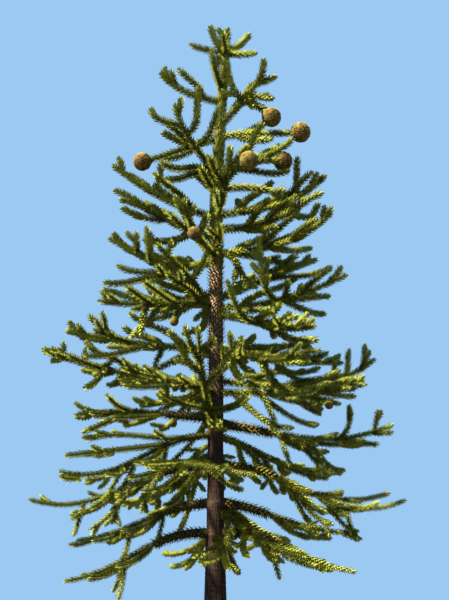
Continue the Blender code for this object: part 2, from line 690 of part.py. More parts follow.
def main():
    clear_scene()
    bark = finish_surface("Trunk bark", (0.16, 0.11, 0.085), 0.9)
    limb = finish_surface("Bough bark", (0.10, 0.075, 0.045), 0.9)
    leaves = finish_surface("Leaves", (0.13, 0.17, 0.03), 0.55)
    branches = grow()
    make_trunk(branches, bark)
    cutter = make_root_cutter()
    for name, height, *_ in BRANCHES:
        branch = branches[name]
        if branch["bare"]:
            first = round(branch["bare"] * (len(branch["axis"]) - 1))
            make_bough(name, branch["axis"], first, cutter, limb)
        make_foliage(name, branch, height, cutter, leaves)
    make_foliage("leader", branches["leader"], TRUNK_TOP, cutter, leaves)
    remove_object(cutter)


if __name__ == "__main__":
    main()
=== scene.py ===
"""Young monkey puzzle tree: its looks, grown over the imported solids.

Metres, +Z up, +X to the right and +Y away from the viewer. The branches, side shoots and
cones follow the same table and the same seeded rule as the solids. The rule is then carried
on to infilling shoots and to the fingers at their ends, within the same reach, and every
shoot is clothed in stiff pointed leaves set in a spiral.
"""

import math
import random
import typing

import bpy
import mathutils
import numpy as np
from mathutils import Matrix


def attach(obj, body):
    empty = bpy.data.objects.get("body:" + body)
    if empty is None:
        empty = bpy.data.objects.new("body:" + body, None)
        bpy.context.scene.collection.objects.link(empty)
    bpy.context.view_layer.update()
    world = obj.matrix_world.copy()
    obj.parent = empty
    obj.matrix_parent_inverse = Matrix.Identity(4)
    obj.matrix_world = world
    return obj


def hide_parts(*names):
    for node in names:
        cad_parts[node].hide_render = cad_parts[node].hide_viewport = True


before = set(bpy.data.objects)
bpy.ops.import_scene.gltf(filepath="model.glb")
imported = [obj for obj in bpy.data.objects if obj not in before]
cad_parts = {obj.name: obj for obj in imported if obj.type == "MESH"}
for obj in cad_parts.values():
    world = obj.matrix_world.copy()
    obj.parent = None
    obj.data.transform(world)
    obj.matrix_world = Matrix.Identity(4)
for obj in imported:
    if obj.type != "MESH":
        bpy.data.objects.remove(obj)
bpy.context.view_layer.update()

# Trunk: height and radius of the wood, from the cut foot through the root flare to the tip.
TRUNK_PROFILE = (
    (0.00, 0.172), (0.06, 0.150), (0.18, 0.130), (0.45, 0.114), (0.95, 0.103), (1.45, 0.094),
    (1.80, 0.082), (2.15, 0.071), (2.80, 0.064), (3.60, 0.057), (4.40, 0.049), (5.10, 0.039),
    (5.70, 0.031), (6.10, 0.024),
)
TRUNK_TOP = 6.10
LEAN_START = 4.60
TOP_LEAN, LEAN_POWER = 0.075, 1.5
TRUNK_ROOM_STEP = 0.1

# How far leaves reach from a shoot's centre line.
LEAF_REACH = 0.035

# Boughs: the bare inner part of the low branches.
BOUGH_ROOT_RADIUS = 0.036
BOUGH_TIP_RADIUS = 0.029

# Side shoots: length at the branch's tip and what each metre left of the branch adds, both
# varied by a share, then the angles (degrees) from the branch at the root and at the tip.
SIDE_LENGTH = 0.14
SIDE_LENGTH_PER_METRE = 0.46
LENGTH_SHARES = (0.85, 1.15)
SPREAD_AT_ROOT = (40, 58)
SPREAD_AT_TIP = (14, 34)
ROOT_LIFT_SHARE = 1.1
TIP_LIFT_SHARE = 0.6
TIP_UPTURN = (6, 30)

# Lengths of the other shoots, how much of the branch's direction upright and hanging ones take
# at the root and at the tip, and how far they lean to either side.
SHORT_SIDE = (0.13, 0.19)
UPRIGHT = {"U": (0.24, 0.30), "u": (0.14, 0.18)}
UPRIGHT_FORWARD = (0.7, 0.1)
HANGING = {"D": (0.24, 0.30), "d": (0.15, 0.20)}
HANGING_FORWARD = (0.5, 0.35)
LEAN_ASIDE = (-0.35, 0.35)

# Room kept between neighbours, and the least square of a length that is divided by.
FACE_GAP = 0.0003
NEIGHBOUR_GAP = 0.004
LEAST_SQUARE = 1e-12

# Paths: how far apart their points are, how long a curve's handles are for its reach, and how
# many points it is first drawn with.
PATH_STEP = 0.02
HANDLE_SHARE = 0.4
CURVE_STEPS = 60

# Shares of a branch's axis where its first and last shoots leave, how far past a bare bough the
# first ones stand, and how far each is shifted.
FIRST_STATION = 0.34
LAST_STATION = 0.86
PAST_BOUGH = 0.05
STATION_SHIFT = 0.03
SEED, SEED_RANGE = "monkey puzzle", 1 << 30
UP = np.array([0.0, 0.0, 1.0])

# How far side shoots droop or lift (degrees) at each height up the trunk.
SHOOT_LIFT = (
    (2.0, -30), (2.7, -24), (3.2, -12), (3.6, 0), (4.1, 10), (4.6, 22), (5.2, 32), (6.0, 42),
)

# The branches, numbered by whorl from the ground up. Each row: name, height on the trunk,
# azimuth, reach, rise of the tip, pitch at the root and at the tip (degrees), share that is
# bare bough, and the shoots at its stations. L R are side shoots, l r short ones, U u upright
# ones, D d hanging ones.
BRANCHES = (
    ("01_left", 2.09, 194, 1.16, -0.36, 8, -8, 0.38, "LR DLR Lrd"),
    ("01_right", 2.09, -16, 1.09, -0.29, 8, -8, 0.36, "LRD LR lr"),
    ("01_front", 2.05, -84, 0.92, -0.24, 0, -15, 0.0, "LR Rd l"),
    ("01_back", 2.10, 104, 1.08, -0.24, 5, -5, 0.0, "LR LR lr"),
    ("02_left", 2.33, 172, 1.10, -0.28, 0, -5, 0.34, "LRD LRuD LR"),
    ("02_right", 2.34, 6, 1.13, -0.22, -5, 6, 0.34, "LR LRd LR"),
    ("02_front_right", 2.27, -50, 1.00, -0.38, -20, -8, 0.0, "LR LR lr"),
    ("02_back", 2.30, 58, 1.18, -0.22, 0, 5, 0.0, "LR LRd lr"),
    ("03_left", 2.62, 180, 1.46, -0.26, 4, 18, 0.30, "RD DR D l"),
    ("03_right", 2.62, -2, 1.48, -0.27, 3, 24, 0.30, "LR R D r"),
    ("03_front_left", 2.62, -116, 1.12, -0.10, 0, -5, 0.0, "LR LRd lr"),
    ("03_back", 2.60, 128, 1.30, -0.18, 0, 8, 0.0, "LR LRd lr"),
    ("04_left", 3.00, 176, 1.13, 0.04, 4, -6, 0.34, "LR LR R"),
    ("04_left_low", 2.86, 206, 1.28, -0.34, 0, 12, 0.0, "L LR L"),
    ("04_right", 2.96, 4, 1.42, 0.00, -8, 24, 0.30, "LRD LRD uLR ulr"),
    ("04_right_low", 2.86, 40, 1.18, -0.18, -6, 12, 0.0, "LR LR LR"),
    ("04_front", 2.90, -98, 0.90, 0.64, 12, 62, 0.0, "LR lr"),
    ("04_back", 2.84, 92, 1.24, -0.12, 0, 10, 0.0, "LR LRd lr"),
    ("05_left", 3.22, 177, 1.40, 0.34, 12, 20, 0.30, "LRD LR LR"),
    ("05_right", 3.20, -14, 1.20, 0.02, 0, 8, 0.0, "DLR dLR LRd lr"),
    ("05_right_high", 3.30, 10, 1.33, 0.22, -4, 38, 0.0, "LR LR uLR ulr"),
    ("05_front_left", 3.20, -128, 1.10, 0.04, 8, 5, 0.0, "LR LR lr"),
    ("05_back", 3.22, 114, 1.24, 0.12, 5, 14, 0.0, "LR LR lr"),
    ("06_left", 3.55, 176, 1.22, 0.18, 5, 14, 0.0, "Rd LR LR lr"),
    ("06_right", 3.55, 22, 1.14, -0.02, 0, 4, 0.0, "LR LR lr"),
    ("06_front_right", 3.54, -48, 0.96, -0.16, -6, 10, 0.0, "LR LRd lr"),
    ("06_back", 3.56, 78, 1.14, 0.16, 8, 15, 0.0, "LR LR lr"),
    ("07_left", 3.95, 172, 0.90, 0.58, 34, 30, 0.0, "R R LR lr"),
    ("07_left_low", 3.92, 202, 0.98, -0.05, 5, 4, 0.0, "LR LR lr"),
    ("07_right_high", 3.97, 22, 0.92, 0.44, 26, 24, 0.0, "R ULR lr"),
    ("07_right", 3.90, -4, 1.06, 0.26, 2, 26, 0.0, "uL LR lr"),
    ("07_front_right", 3.84, -38, 0.96, -0.22, -8, 4, 0.0, "L LR lr"),
    ("07_back", 3.94, 118, 1.02, 0.26, 12, 20, 0.0, "LR LR lr"),
    ("08_right", 4.35, 2, 0.96, 0.38, 10, 48, 0.0, "ULR uLR lr"),
    ("08_left", 4.50, 162, 0.86, 0.42, 14, 18, 0.0, "LR LR lr"),
    ("08_front", 4.32, -108, 0.78, 0.26, 10, 58, 0.0, "LR LR lr"),
    ("08_back", 4.30, 130, 0.86, 0.18, 6, 30, 0.0, "LR LR lr"),
    ("09_left", 4.67, 184, 0.86, 0.44, 16, 38, 0.0, "LR uLR lr"),
    ("09_right", 4.69, 6, 0.90, 0.36, 12, 44, 0.0, "LR uLR lr"),
    ("09_right_low", 4.57, -26, 0.80, 0.15, -6, 36, 0.0, "LR lr"),
    ("09_front", 4.66, -80, 0.66, 0.38, 24, 62, 0.0, "LR LRl"),
    ("10_left", 5.00, 225, 0.49, 0.53, 50, 72, 0.0, "l"),
    ("10_left_low", 5.37, 191, 0.62, -0.24, -14, -18, 0.0, "LR d"),
    ("10_right", 5.06, -20, 0.66, 0.22, 18, 40, 0.0, "LR LR"),
    ("10_back", 4.92, 102, 0.66, 0.44, 26, 58, 0.0, "LR LR"),
    ("11_right", 5.38, -4, 0.70, 0.04, 14, 8, 0.0, "LR lr"),
    ("11_right_high", 5.48, -24, 0.40, 0.42, 46, 56, 0.0, "r lr"),
    ("12_left", 5.70, 182, 0.52, 0.26, 12, 48, 0.0, "r lr"),
    ("12_front", 5.80, -112, 0.24, 0.28, 40, 82, 0.0, "lr"),
)

# The leader above the trunk's tip, and the short shoots of its whorl: azimuth, reach, rise,
# pitch at the root and at the tip.
LEADER_TOP = 6.38
LEADER_SHOOTS = (
    (190, 0.30, 0.07, 20, 25), (165, 0.13, 0.28, 60, 82),
    (-8, 0.26, 0.00, 5, 8), (20, 0.22, 0.23, 45, 60),
    (-95, 0.22, 0.10, 30, 45), (88, 0.24, 0.14, 30, 50),
)
LEADER_FORK = 2

# Shoots that stand apart, by branch: share of its axis where the shoot leaves, X, Y and Z of
# the shoot's end, and its pitch there.
LONE_SHOOTS = {
    "03_front_left": ((0.55, 0.30, -0.95, 2.45, -8), (0.40, 0.20, -0.72, 2.37, -12)),
    "03_right": (
        (0.52, 1.38, 0.15, 2.42, 18), (0.36, 0.83, -0.10, 2.24, -30), (0.34, 0.75, 0.12, 2.20, -25),
    ),
    "04_left_low": ((0.18, -0.99, -0.30, 2.79, -18), (0.30, -1.10, -0.62, 2.63, -10)),
    "04_left": ((0.58, -0.85, -0.20, 3.15, 35), (0.50, -0.99, -0.25, 2.87, -20)),
    "04_right": ((0.66, 1.08, 0.00, 3.06, 82),),
    "04_front": (
        (0.66, -0.35, -0.80, 3.54, 40), (0.76, -0.22, -0.92, 3.54, 62), (0.58, 0.17, -0.80, 3.46, 45),
    ),
    "05_left": (
        (0.66, -0.83, 0.00, 3.49, 62), (0.76, -1.05, -0.02, 3.56, 84), (0.86, -1.24, 0.05, 3.62, 78),
        (0.60, -1.02, -0.22, 3.21, -8),
    ),
    "05_right_high": ((0.76, 1.09, 0.14, 3.58, 72), (0.88, 1.22, 0.14, 3.62, 84)),
    "06_left": ((0.32, -1.03, -0.25, 3.46, 4),),
    "07_left": (
        (0.28, -0.07, -0.24, 4.31, 62), (0.34, -0.89, -0.20, 4.06, 2), (0.56, -0.36, -0.14, 4.43, 74),
        (0.62, -0.57, -0.06, 4.57, 50), (0.60, -0.55, 0.16, 4.58, 85), (0.74, -0.66, 0.02, 4.55, 80),
    ),
    "07_left_low": ((0.50, -0.91, -0.12, 4.02, 8), (0.56, -0.58, -0.36, 3.60, -84)),
    "07_right": (
        (0.46, 0.34, -0.20, 4.44, 74), (0.48, 0.93, 0.08, 4.02, 6), (0.50, 0.58, -0.16, 4.09, 60),
        (0.62, 0.69, -0.16, 4.05, 45),
    ),
    "07_right_high": ((0.45, 0.95, 0.03, 4.25, 25),),
    "07_front_right": ((0.22, 0.79, -0.42, 3.55, 8), (0.40, 0.09, -0.45, 4.01, 62)),
    "08_left": ((0.50, -0.86, 0.12, 4.95, 12),),
    "08_right": (
        (0.04, 0.26, -0.15, 4.07, -45), (0.10, 0.58, 0.15, 4.33, 5), (0.60, 0.86, 0.08, 4.82, 55),
    ),
    "09_left": ((0.62, -0.46, -0.06, 5.12, 86),),
    "10_left": (
        (0.06, -0.41, -0.20, 4.94, 0), (0.10, -0.44, -0.30, 5.05, 30), (0.74, -0.53, -0.36, 5.49, 85),
        (0.66, -0.13, -0.30, 5.72, 66),
    ),
    "09_front": ((0.50, 0.53, -0.25, 4.78, -20), (0.80, 0.25, -0.58, 5.08, 40)),
    "10_left_low": ((0.26, 0.01, -0.22, 5.53, 62),),
    "09_right": ((0.60, 0.69, 0.10, 5.24, 80), (0.70, 0.85, 0.04, 5.08, 66)),
    "09_right_low": ((0.72, 0.85, -0.40, 4.75, 10),),
    "10_right": ((0.12, 0.60, -0.12, 5.04, 15),),
    "11_right_high": (
        (0.52, 0.09, -0.16, 6.00, 84), (0.55, 0.31, -0.27, 5.55, -35), (0.60, 0.43, -0.10, 5.73, 45),
        (0.84, 0.40, -0.22, 5.99, 88), (0.80, 0.50, -0.12, 5.88, 24),
    ),
    "12_left": ((0.78, -0.44, -0.04, 6.00, 88),),
}

# The cones: branch, share of its axis where the shoot leaves (1 for the branch's own tip),
# centre and radius.
CONES = (
    ("11_right_high", 0.40, (0.46, -0.20, 5.48), 0.080),
    ("11_right", 1.0, (0.71, -0.04, 5.41), 0.084),
    ("10_right", 0.45, (0.56, -0.02, 5.16), 0.080),
    ("09_front", 0.60, (0.26, -0.62, 4.94), 0.074),
    ("10_left_low", 1.0, (-0.61, -0.12, 5.12), 0.076),
    ("08_front", 0.45, (-0.16, -0.73, 4.31), 0.052),
    ("05_right", 0.50, (0.87, -0.40, 3.04), 0.032),
    ("07_left_low", 0.42, (-0.53, -0.20, 3.73), 0.037),
    ("07_left_low", 0.22, (-0.33, -0.20, 3.74), 0.035),
)

# Finer shoots. Infilling shoots stand round an axis at these turns (degrees, 0 to the left and
# 90 above), fingers near a shoot's end, and hands round a branch's own end, at rows of the
# distance back from it and the turn. Gaps are what they keep to other masses' limbs and to
# their own mass's, and are below nothing where leaves may mingle.
TURNED_SPREAD = (42, 62)
TURNED_UPTURN = (0.10, 0.55)
SAG = ((2.0, 0.40), (3.4, 0.22), (4.6, 0.0))
SAG_PLACE = 0.6
FINER_OUTER = 0.5
INFILL_FIRST, INFILL_LAST, INFILL_STEP = 0.12, 0.18, 0.30
INFILL_TURNS = ((40, -140), (140, -40))
LOW_INFILL_TURNS = ((-35, -125), (-55, -145))
LOW_INFILL_UNDER = 3.1
INFILL_TURN_VARIES = 25
INFILL_LENGTH, INFILL_PER_METRE = 0.14, 0.40
INFILL_CLOSE = (12, 34)
INFILL_GAPS = (-0.004, 0.004)
INFILL_LIMITS = ((2.15, 0.40), (2.4, 0.74), (3.6, 0.85), (4.3, 0.96))
FINGER_SHORTEST_HOST = 0.15
FINGER_FIRST, FINGER_LAST, FINGER_STEP = 0.075, 0.05, 0.11
FINGER_TURNS = (0, 180)
FINGER_TURN_VARIES = (-35, 45)
FINGER_LENGTHS = (0.10, 0.16)
FINGER_CLOSE = (24, 44)
FINGER_CHANCE = 0.24
FINGER_GAPS = (-0.004, -0.008)
TIP_HOST_POINTS = 14
HAND_SHOOTS = ((0.05, 10), (0.06, 170), (0.10, 90), (0.15, 40), (0.16, 140))
HAND_TURN_VARIES = 18
HANDS_FROM = 3.0
HAND_LENGTHS = (0.09, 0.14)
HAND_CLOSE = (20, 38)
HAND_GAPS = (-0.004, -0.020)
HAND_OVERREACH = 0.02
ROOM_REACH = 0.25

# How thick shoots are at each height, from those of the low branches to the crown's top.
SLIMNESS = ((2.4, 0.62), (3.1, 0.74), (3.8, 0.86), (4.6, 0.94), (5.2, 1.0))
LEAF_SLIMS = 0.55

# Leaves stand in a spiral. Near the root and the growing tip they are smaller, at the tip they
# close into a blunt end, and each year's growth starts with a slight waist.
GOLDEN_ANGLE = math.radians(137.508)
LEAF_STEPS = 200
LEAF_MARGIN = 0.006
LEAF_SIZES = (0.88, 1.12)
LEAF_SUNK = 0.88
BASE_WIDTH = 0.72
WAIST_PLACE = 0.30
KEEL_DEPTH = 0.22
INCURVE = 0.14
WAIST_CURL, POINT_CURL = 0.4, 0.6
TILT_VARIES = 4
TURN_VARIES = 0.05
SIZE_AT_ROOT, ROOT_RUN = 0.66, 0.05
SIZE_AT_END, TILT_AT_END, END_RUN = 0.66, 12, 0.026
STEM_AT_END = 0.60
YEAR_LENGTH = (0.13, 0.21)
YEAR_WAIST, YEAR_WAIST_RUN = 0.24, 0.012

# Stems under the leaves, and a direction that no path starts along.
STEM_SIDES = 5
STEM_STEP = 0.03
STEM_POINT = 0.001
OFF_ANY_PATH = (0.13, 0.31, 0.94)

# Leaf colours, linear, from the growing tips to the dead leaves on the old wood, and how far
# the tip's colour runs. A tone is a number on this list.
LEAF_COLOURS = (
    ("tip", (0.246, 0.262, 0.054)),
    ("bright", (0.230, 0.247, 0.046)),
    ("fresh", (0.224, 0.239, 0.037)),
    ("mid", (0.206, 0.217, 0.025)),
    ("deep", (0.132, 0.133, 0.011)),
    ("olive", (0.108, 0.092, 0.011)),
    ("dead", (0.084, 0.062, 0.013)),
)
TIP, BRIGHT, FRESH, MID, DEEP, OLIVE, DEAD = range(7)
TIP_RUN, TIP_RUN_VARIES = 0.030, (0.6, 1.4)
TIP_SHARE = 0.6
SHADE_VARIES = 0.8
SHOOT_SHADE_VARIES = (-0.4, 0.4)
# Tones darker on low axes and toward each shoot's root: partly older leaves, partly painted shade for
# the crown's inside.
INNER_TONES = ((2.0, OLIVE), (3.4, DEEP), (4.6, MID), (5.4, FRESH))
SIDE_TONES, SIDE_TONE_ENDS = (FRESH - 0.3, MID + 0.6), (0.7, -0.5)
FINGER_TONES, FINGER_TONE_ENDS = (BRIGHT + 0.3, FRESH + 0.6), (0.5, -0.4)
MOST_TRIANGLES = 190000

# Trunk relief. Waves are their number, their turns round the trunk and their rates per metre.
TRUNK_SEGMENTS = 96
TRUNK_RING_STEP = 0.0085
WAVE_HEIGHTS, WAVE_PHASES = (0.5, 1.0), (0, 6.28)
WRINKLES = (26, (1, 7), (90, 420))
FISSURES = (22, (9, 26), (2, 38))
LUMPS = (14, (1, 4), (2, 16))
LUMP_DEPTH = 0.0014
FLARE_LOBES, FLARE_RUN = 5, 0.28
LOBE_DEPTH, LOBE_TURN, LOBE_SUNK = 0.006, 1.1, 0.6
SCAR_PITCH = 0.027
SCAR_RIGHT, SCAR_LEFT = 8, 13
SCAR_TURN_WANDER, SCAR_RISE_WANDER = 0.05, 0.003
SCAR_DEPTH = 0.0042
# SCAR_SHADE shapes the painted shade that the material lays in the grooves between the scars.
SCAR_EDGE, SCAR_SHADE = 4, 3
SCARRED = ((2.6, 0.0), (3.4, 0.30), (3.85, 1.0))
BARKY = ((1.6, 1.0), (3.9, 0.35))
BARK_DEPTH = 0.0022
BARK_SUNK = 0.002
WRINKLE_SHARE = 0.55
FISSURE_SHARE, FISSURE_FROM = 0.8, 0.5
CRACK_MIDDLE, CRACK_SHARE = 0.5, 0.35
WHORL_SWELL = 0.0055
WHORL_MOST, WHORL_WRINKLES = 1.2, 0.35
WHORL_RUN, WHORL_WANDER = 0.030, 0.008
WHORL_HEIGHTS = (2.09, 2.32, 2.62, 2.90, 3.22, 3.55, 3.92, 4.32, 4.67, 5.06, 5.42, 5.75)
GREEN_FROM = 4.22
STUBS_FROM, STUBS_TO = 3.20, 4.60

# Bough relief, with a collar where the bough leaves the trunk. Its leaves start some points
# out along its path.
BOUGH_SEGMENTS = 28
BOUGH_RING_STEP = 0.009
BOUGH_BUMPS = (24, (3, 9), (120, 420))
BOUGH_RELIEF = 0.0022
BOUGH_SUNK = 0.003
COLLAR_PROUD, COLLAR_FROM, COLLAR_RUN = 0.010, 0.06, 0.03
OUT_OF_TRUNK = 3

# Cones: scales in a spiral over a round core, each with a spine that turns up. Crests are how
# far each corner of a scale stands out; the material paints shade where they are low.
CONE_SCALES = 260
CONE_CORE = 0.92
SCALE_FOOT = 0.97
SCALE_WIDTH = 0.15
SCALE_HEIGHT = 0.14
SCALE_DROOP = 0.03
SCALE_SPINES, SPINE_HEIGHTS = (0.05, 0.16), (-0.4, 0.9)
SPINE_LEAN = 0.7
SCALE_JITTER = 0.035
SCALE_CRESTS = (0.0, 0.0, 0.0, 0.0, 0.55, 1.0)
RIPENESS = (0.65, 1.0)
CONE_SIDES, CONE_RINGS = 24, 15
POLE_GAP = 0.02

# The mix node's colour sockets, which share their names with its other kinds.
INPUT_NUMBERS = {"share": 0, "first": 6, "second": 7}
MIXED_COLOUR = 2

# The other materials' colours, linear, most as stops of (place, colour). A noise is a scale, a
# detail and its stretch, if any. A range is where a mix starts and ends, and MOST is its
# largest share.
NOISE_ROUGHNESS = 0.55
LEAF_LINES = (1, 1, 0.35)
STEM_NOISE = (35.0, 4.0)
STEM_STOPS = (
    (0.30, (0.024, 0.027, 0.004)), (0.62, (0.044, 0.046, 0.008)), (0.80, (0.060, 0.042, 0.014)))
BOUGH_NOISE = (55.0, 6.0)
BOUGH_STOPS = (
    (0.30, (0.014, 0.012, 0.004)), (0.55, (0.038, 0.030, 0.010)), (0.80, (0.066, 0.054, 0.019)))
SCARRED_RANGE = (0.05, 0.95)
# Leaf scars: the pads' own tan, then the near-black of the grooves between them, which is painted
# shade.
SCAR_PAD_AND_GROOVE_SHADE_STOPS = (
    (0.16, (0.385, 0.268, 0.158)), (0.36, (0.145, 0.082, 0.031)), (0.62, (0.012, 0.007, 0.003)))
BARK_STOPS = (
    (0.10, (0.056, 0.030, 0.019)), (0.50, (0.037, 0.020, 0.013)), (0.95, (0.014, 0.008, 0.005)))
BARK_PATCHES = (0.041, 0.025, 0.018)
BARK_PATCH_NOISE = (5.0, 3.0, (1, 1, 0.5))
BARK_PATCH_MOST, BARK_PATCH_RANGE = 0.55, (0.42, 0.70)
WHORL_BARK, WHORL_BARK_MOST = (0.110, 0.060, 0.034), 0.45
FINE_SHADE = ((0.25, (0.62, 0.62, 0.62)), (0.75, (1.0, 1.0, 1.0)))
# Cone colours by crest: the dark brown at the scales' feet and on the core is painted shade in the
# gaps; the ochre and yellow-green are the scales' own.
CONE_CREST_AND_GAP_SHADE_STOPS = (
    (0.00, (0.070, 0.036, 0.007)), (0.35, (0.176, 0.100, 0.015)),
    (0.60, (0.262, 0.172, 0.022)), (1.00, (0.380, 0.350, 0.040)))
CONE_GREEN, CONE_GREEN_NOISE = (0.182, 0.162, 0.026), (9.0, 2.0)
CONE_GREEN_MOST, CONE_GREEN_RANGE = 0.60, (0.44, 0.60)
CONE_SHADE, CONE_SHADE_NOISE = ((0.40, (0.40, 0.32, 0.26)), (0.60, (1.0, 1.0, 1.0))), (34.0, 6.0)
FLOOR_STOPS = ((0.3, (0.100, 0.102, 0.102)), (0.7, (0.110, 0.110, 0.107)))
FLOOR_NOISE, FLOOR_ROUGHNESS, FLOOR_SHINE = (2.0, 4.0), 0.9, 0.2

# Stage, light and camera. The camera is at eye height, 9.5 m in front, and looks up by 14
# degrees, and the key's direction is where it comes from.
FLOOR_REACH = 60.0
SKY = (0.3585, 0.606, 0.893)
KEY_FROM = (-0.74, -0.46, 0.90)
KEY_ENERGY = 18.3
KEY_ANGLE = 4
KEY_COLOUR = (1.0, 0.95, 0.85)
VIEW_GAMMA = 0.93
CAMERA_PLACE = (0.07, -9.5, 1.6)
CAMERA_PITCH = 14
SENSOR_HEIGHT, LENS, CLIP_END = 36, 72, 200


def ramp(value, stops):
    """The value read off a list of (place, height) stops joined by straight lines."""
    places, heights = zip(*stops)
    return float(np.interp(value, places, heights))


def trunk_centre(height):
    """The trunk's centre line leans a little to the right above LEAN_START."""
    above = max(0.0, height - LEAN_START) / (TRUNK_TOP - LEAN_START)
    return np.array([TOP_LEAN * above ** LEAN_POWER, 0.0, height])


def heading(azimuth, pitch):
    """Unit vector at an azimuth about Z and a pitch above the horizon, in degrees."""
    turn, lift = math.radians(azimuth), math.radians(pitch)
    return np.array([
        math.cos(lift) * math.cos(turn),
        math.cos(lift) * math.sin(turn),
        math.sin(lift),
    ])


def unit(vector):
    """The vector at a length of one."""
    return vector / np.linalg.norm(vector)


def read_along(points, lengths, places):
    """Points, or directions, of a path read at places along it."""
    return np.column_stack([np.interp(places, lengths, points[:, k]) for k in range(3)])


def path_lengths(path):
    """Length along a path at each of its points."""
    return np.r_[0.0, np.cumsum(np.linalg.norm(np.diff(path, axis=0), axis=1))]


def even_steps(points, step):
    """The same polyline with its points spaced evenly, about one step apart."""
    lengths = path_lengths(points)
    count = max(1, round(lengths[-1] / step)) + 1
    places = np.linspace(0.0, lengths[-1], count)
    return read_along(points, lengths, places)


def branch_axis(start, azimuth, reach, rise, root_pitch, tip_pitch):
    """One cubic curve from the trunk's centre line to the branch's tip."""
    end = start + reach * heading(azimuth, 0) + np.array([0.0, 0.0, rise])
    handle = HANDLE_SHARE * math.hypot(reach, rise)
    root_handle = start + handle * heading(azimuth, root_pitch)
    tip_handle = end - handle * heading(azimuth, tip_pitch)
    t = np.linspace(0.0, 1.0, CURVE_STEPS)[:, None]
    curve = (
        (1 - t) ** 3 * start + 3 * (1 - t) ** 2 * t * root_handle
        + 3 * (1 - t) * t ** 2 * tip_handle + t ** 3 * end
    )
    return even_steps(curve, PATH_STEP)


def bend(start, first, last, length):
    """A path that leaves along one direction and ends along another."""
    count = max(3, round(length / PATH_STEP))
    points = [np.array(start)]
    for i in range(count):
        share = (i + 0.5) / count
        points.append(points[-1] + unit(first + (last - first) * share) * length / count)
    return np.array(points)


def frame_at(points, index):
    """Forward, level forward, left-hand and upward directions of a path at one of its points."""
    ahead = points[min(index + 1, len(points) - 1)] - points[max(index - 1, 0)]
    forward = unit(ahead)
    flat = np.array([forward[0], forward[1], 0.0])
    side = unit(np.array([-flat[1], flat[0], 0.0]))
    return forward, unit(flat), side, unit(np.cross(forward, side))


def side_shoot(points, index, letter, remaining, draw):
    """The path of the shoot that one letter asks for."""
    if letter in "LRlr":
        return spreading_shoot(points, index, letter, remaining, draw)
    forward, flat, side, up = frame_at(points, index)
    aside = side * draw.uniform(*LEAN_ASIDE)
    if letter in UPRIGHT:
        length = draw.uniform(*UPRIGHT[letter])
        root, tip = UPRIGHT_FORWARD
        return bend(points[index], unit(root * forward + up), unit(UP + aside + tip * flat), length)
    length = draw.uniform(*HANGING[letter])
    root, tip = HANGING_FORWARD
    return bend(points[index], unit(root * forward - up), unit(tip * flat + aside - UP), length)


def spreading_shoot(points, index, letter, remaining, draw):
    """A shoot to the left or right that closes toward the branch and turns up at its tip."""
    forward, flat, side, _ = frame_at(points, index)
    lift = ramp(points[index][2], SHOOT_LIFT)
    hand = side if letter in "Ll" else -side
    length = (SIDE_LENGTH + SIDE_LENGTH_PER_METRE * remaining) * draw.uniform(*LENGTH_SHARES)
    if letter in "lr":
        length = draw.uniform(*SHORT_SIDE)
    spread = math.radians(draw.uniform(*SPREAD_AT_ROOT))
    close = math.radians(draw.uniform(*SPREAD_AT_TIP))
    root_lift = math.radians(lift * ROOT_LIFT_SHARE)
    tip_lift = math.radians(lift * TIP_LIFT_SHARE + draw.uniform(*TIP_UPTURN))
    first = forward * math.cos(spread) + hand * math.sin(spread) + UP * math.sin(root_lift)
    last = (flat * math.cos(close) + hand * math.sin(close)) * math.cos(tip_lift)
    return bend(points[index], unit(first), last + UP * math.sin(tip_lift), length)


def distance_to_paths(points, starts, ends):
    """Distance from each of the points to each of the segments."""
    along = ends - starts
    across = points[:, None, :] - starts[None]
    share = (across * along).sum(2) / np.maximum((along * along).sum(1), LEAST_SQUARE)
    nearest = starts + np.clip(share, 0.0, 1.0)[..., None] * along
    return np.linalg.norm(points[:, None, :] - nearest, axis=2)


class Room:
    """The segments that stand already, with their owners, so that later shoots keep clear."""

    def __init__(self):
        self.starts, self.ends = np.empty((0, 3)), np.empty((0, 3))
        self.radii, self.owners = np.empty(0), np.empty(0, dtype=str)

    def add(self, points, radius, owner):
        points = np.asarray(points)
        self.starts = np.concatenate([self.starts, points[:-1]])
        self.ends = np.concatenate([self.ends, points[1:]])
        self.radii = np.append(self.radii, [radius] * (len(points) - 1))
        self.owners = np.append(self.owners, [owner] * (len(points) - 1))

    def is_clear(self, points, radius, owner, near_root, gaps=(NEIGHBOUR_GAP, NEIGHBOUR_GAP)):
        """Whether foreign limbs keep clear of the whole path, and the mass's own of its outer part.

        gaps are what is kept to the foreign limbs and to the mass's own.
        """
        low, high = points.min(axis=0) - ROOM_REACH, points.max(axis=0) + ROOM_REACH
        near = ((self.starts > low) & (self.starts < high)).all(axis=1)
        own = self.owners[near] == owner
        need = self.radii[near] + radius + np.where(own, gaps[1], gaps[0])
        free = distance_to_paths(points, self.starts[near], self.ends[near]) - need
        if (free[:, ~own] < 0).any():
            return False
        return not (free[near_root:][:, own] < 0).any()


def new_branch(axis, bare=0.0):
    """A branch with its axis and nothing on it yet."""
    return {"axis": axis, "bare": bare, "shoots": [], "fingers": [], "cones": []}


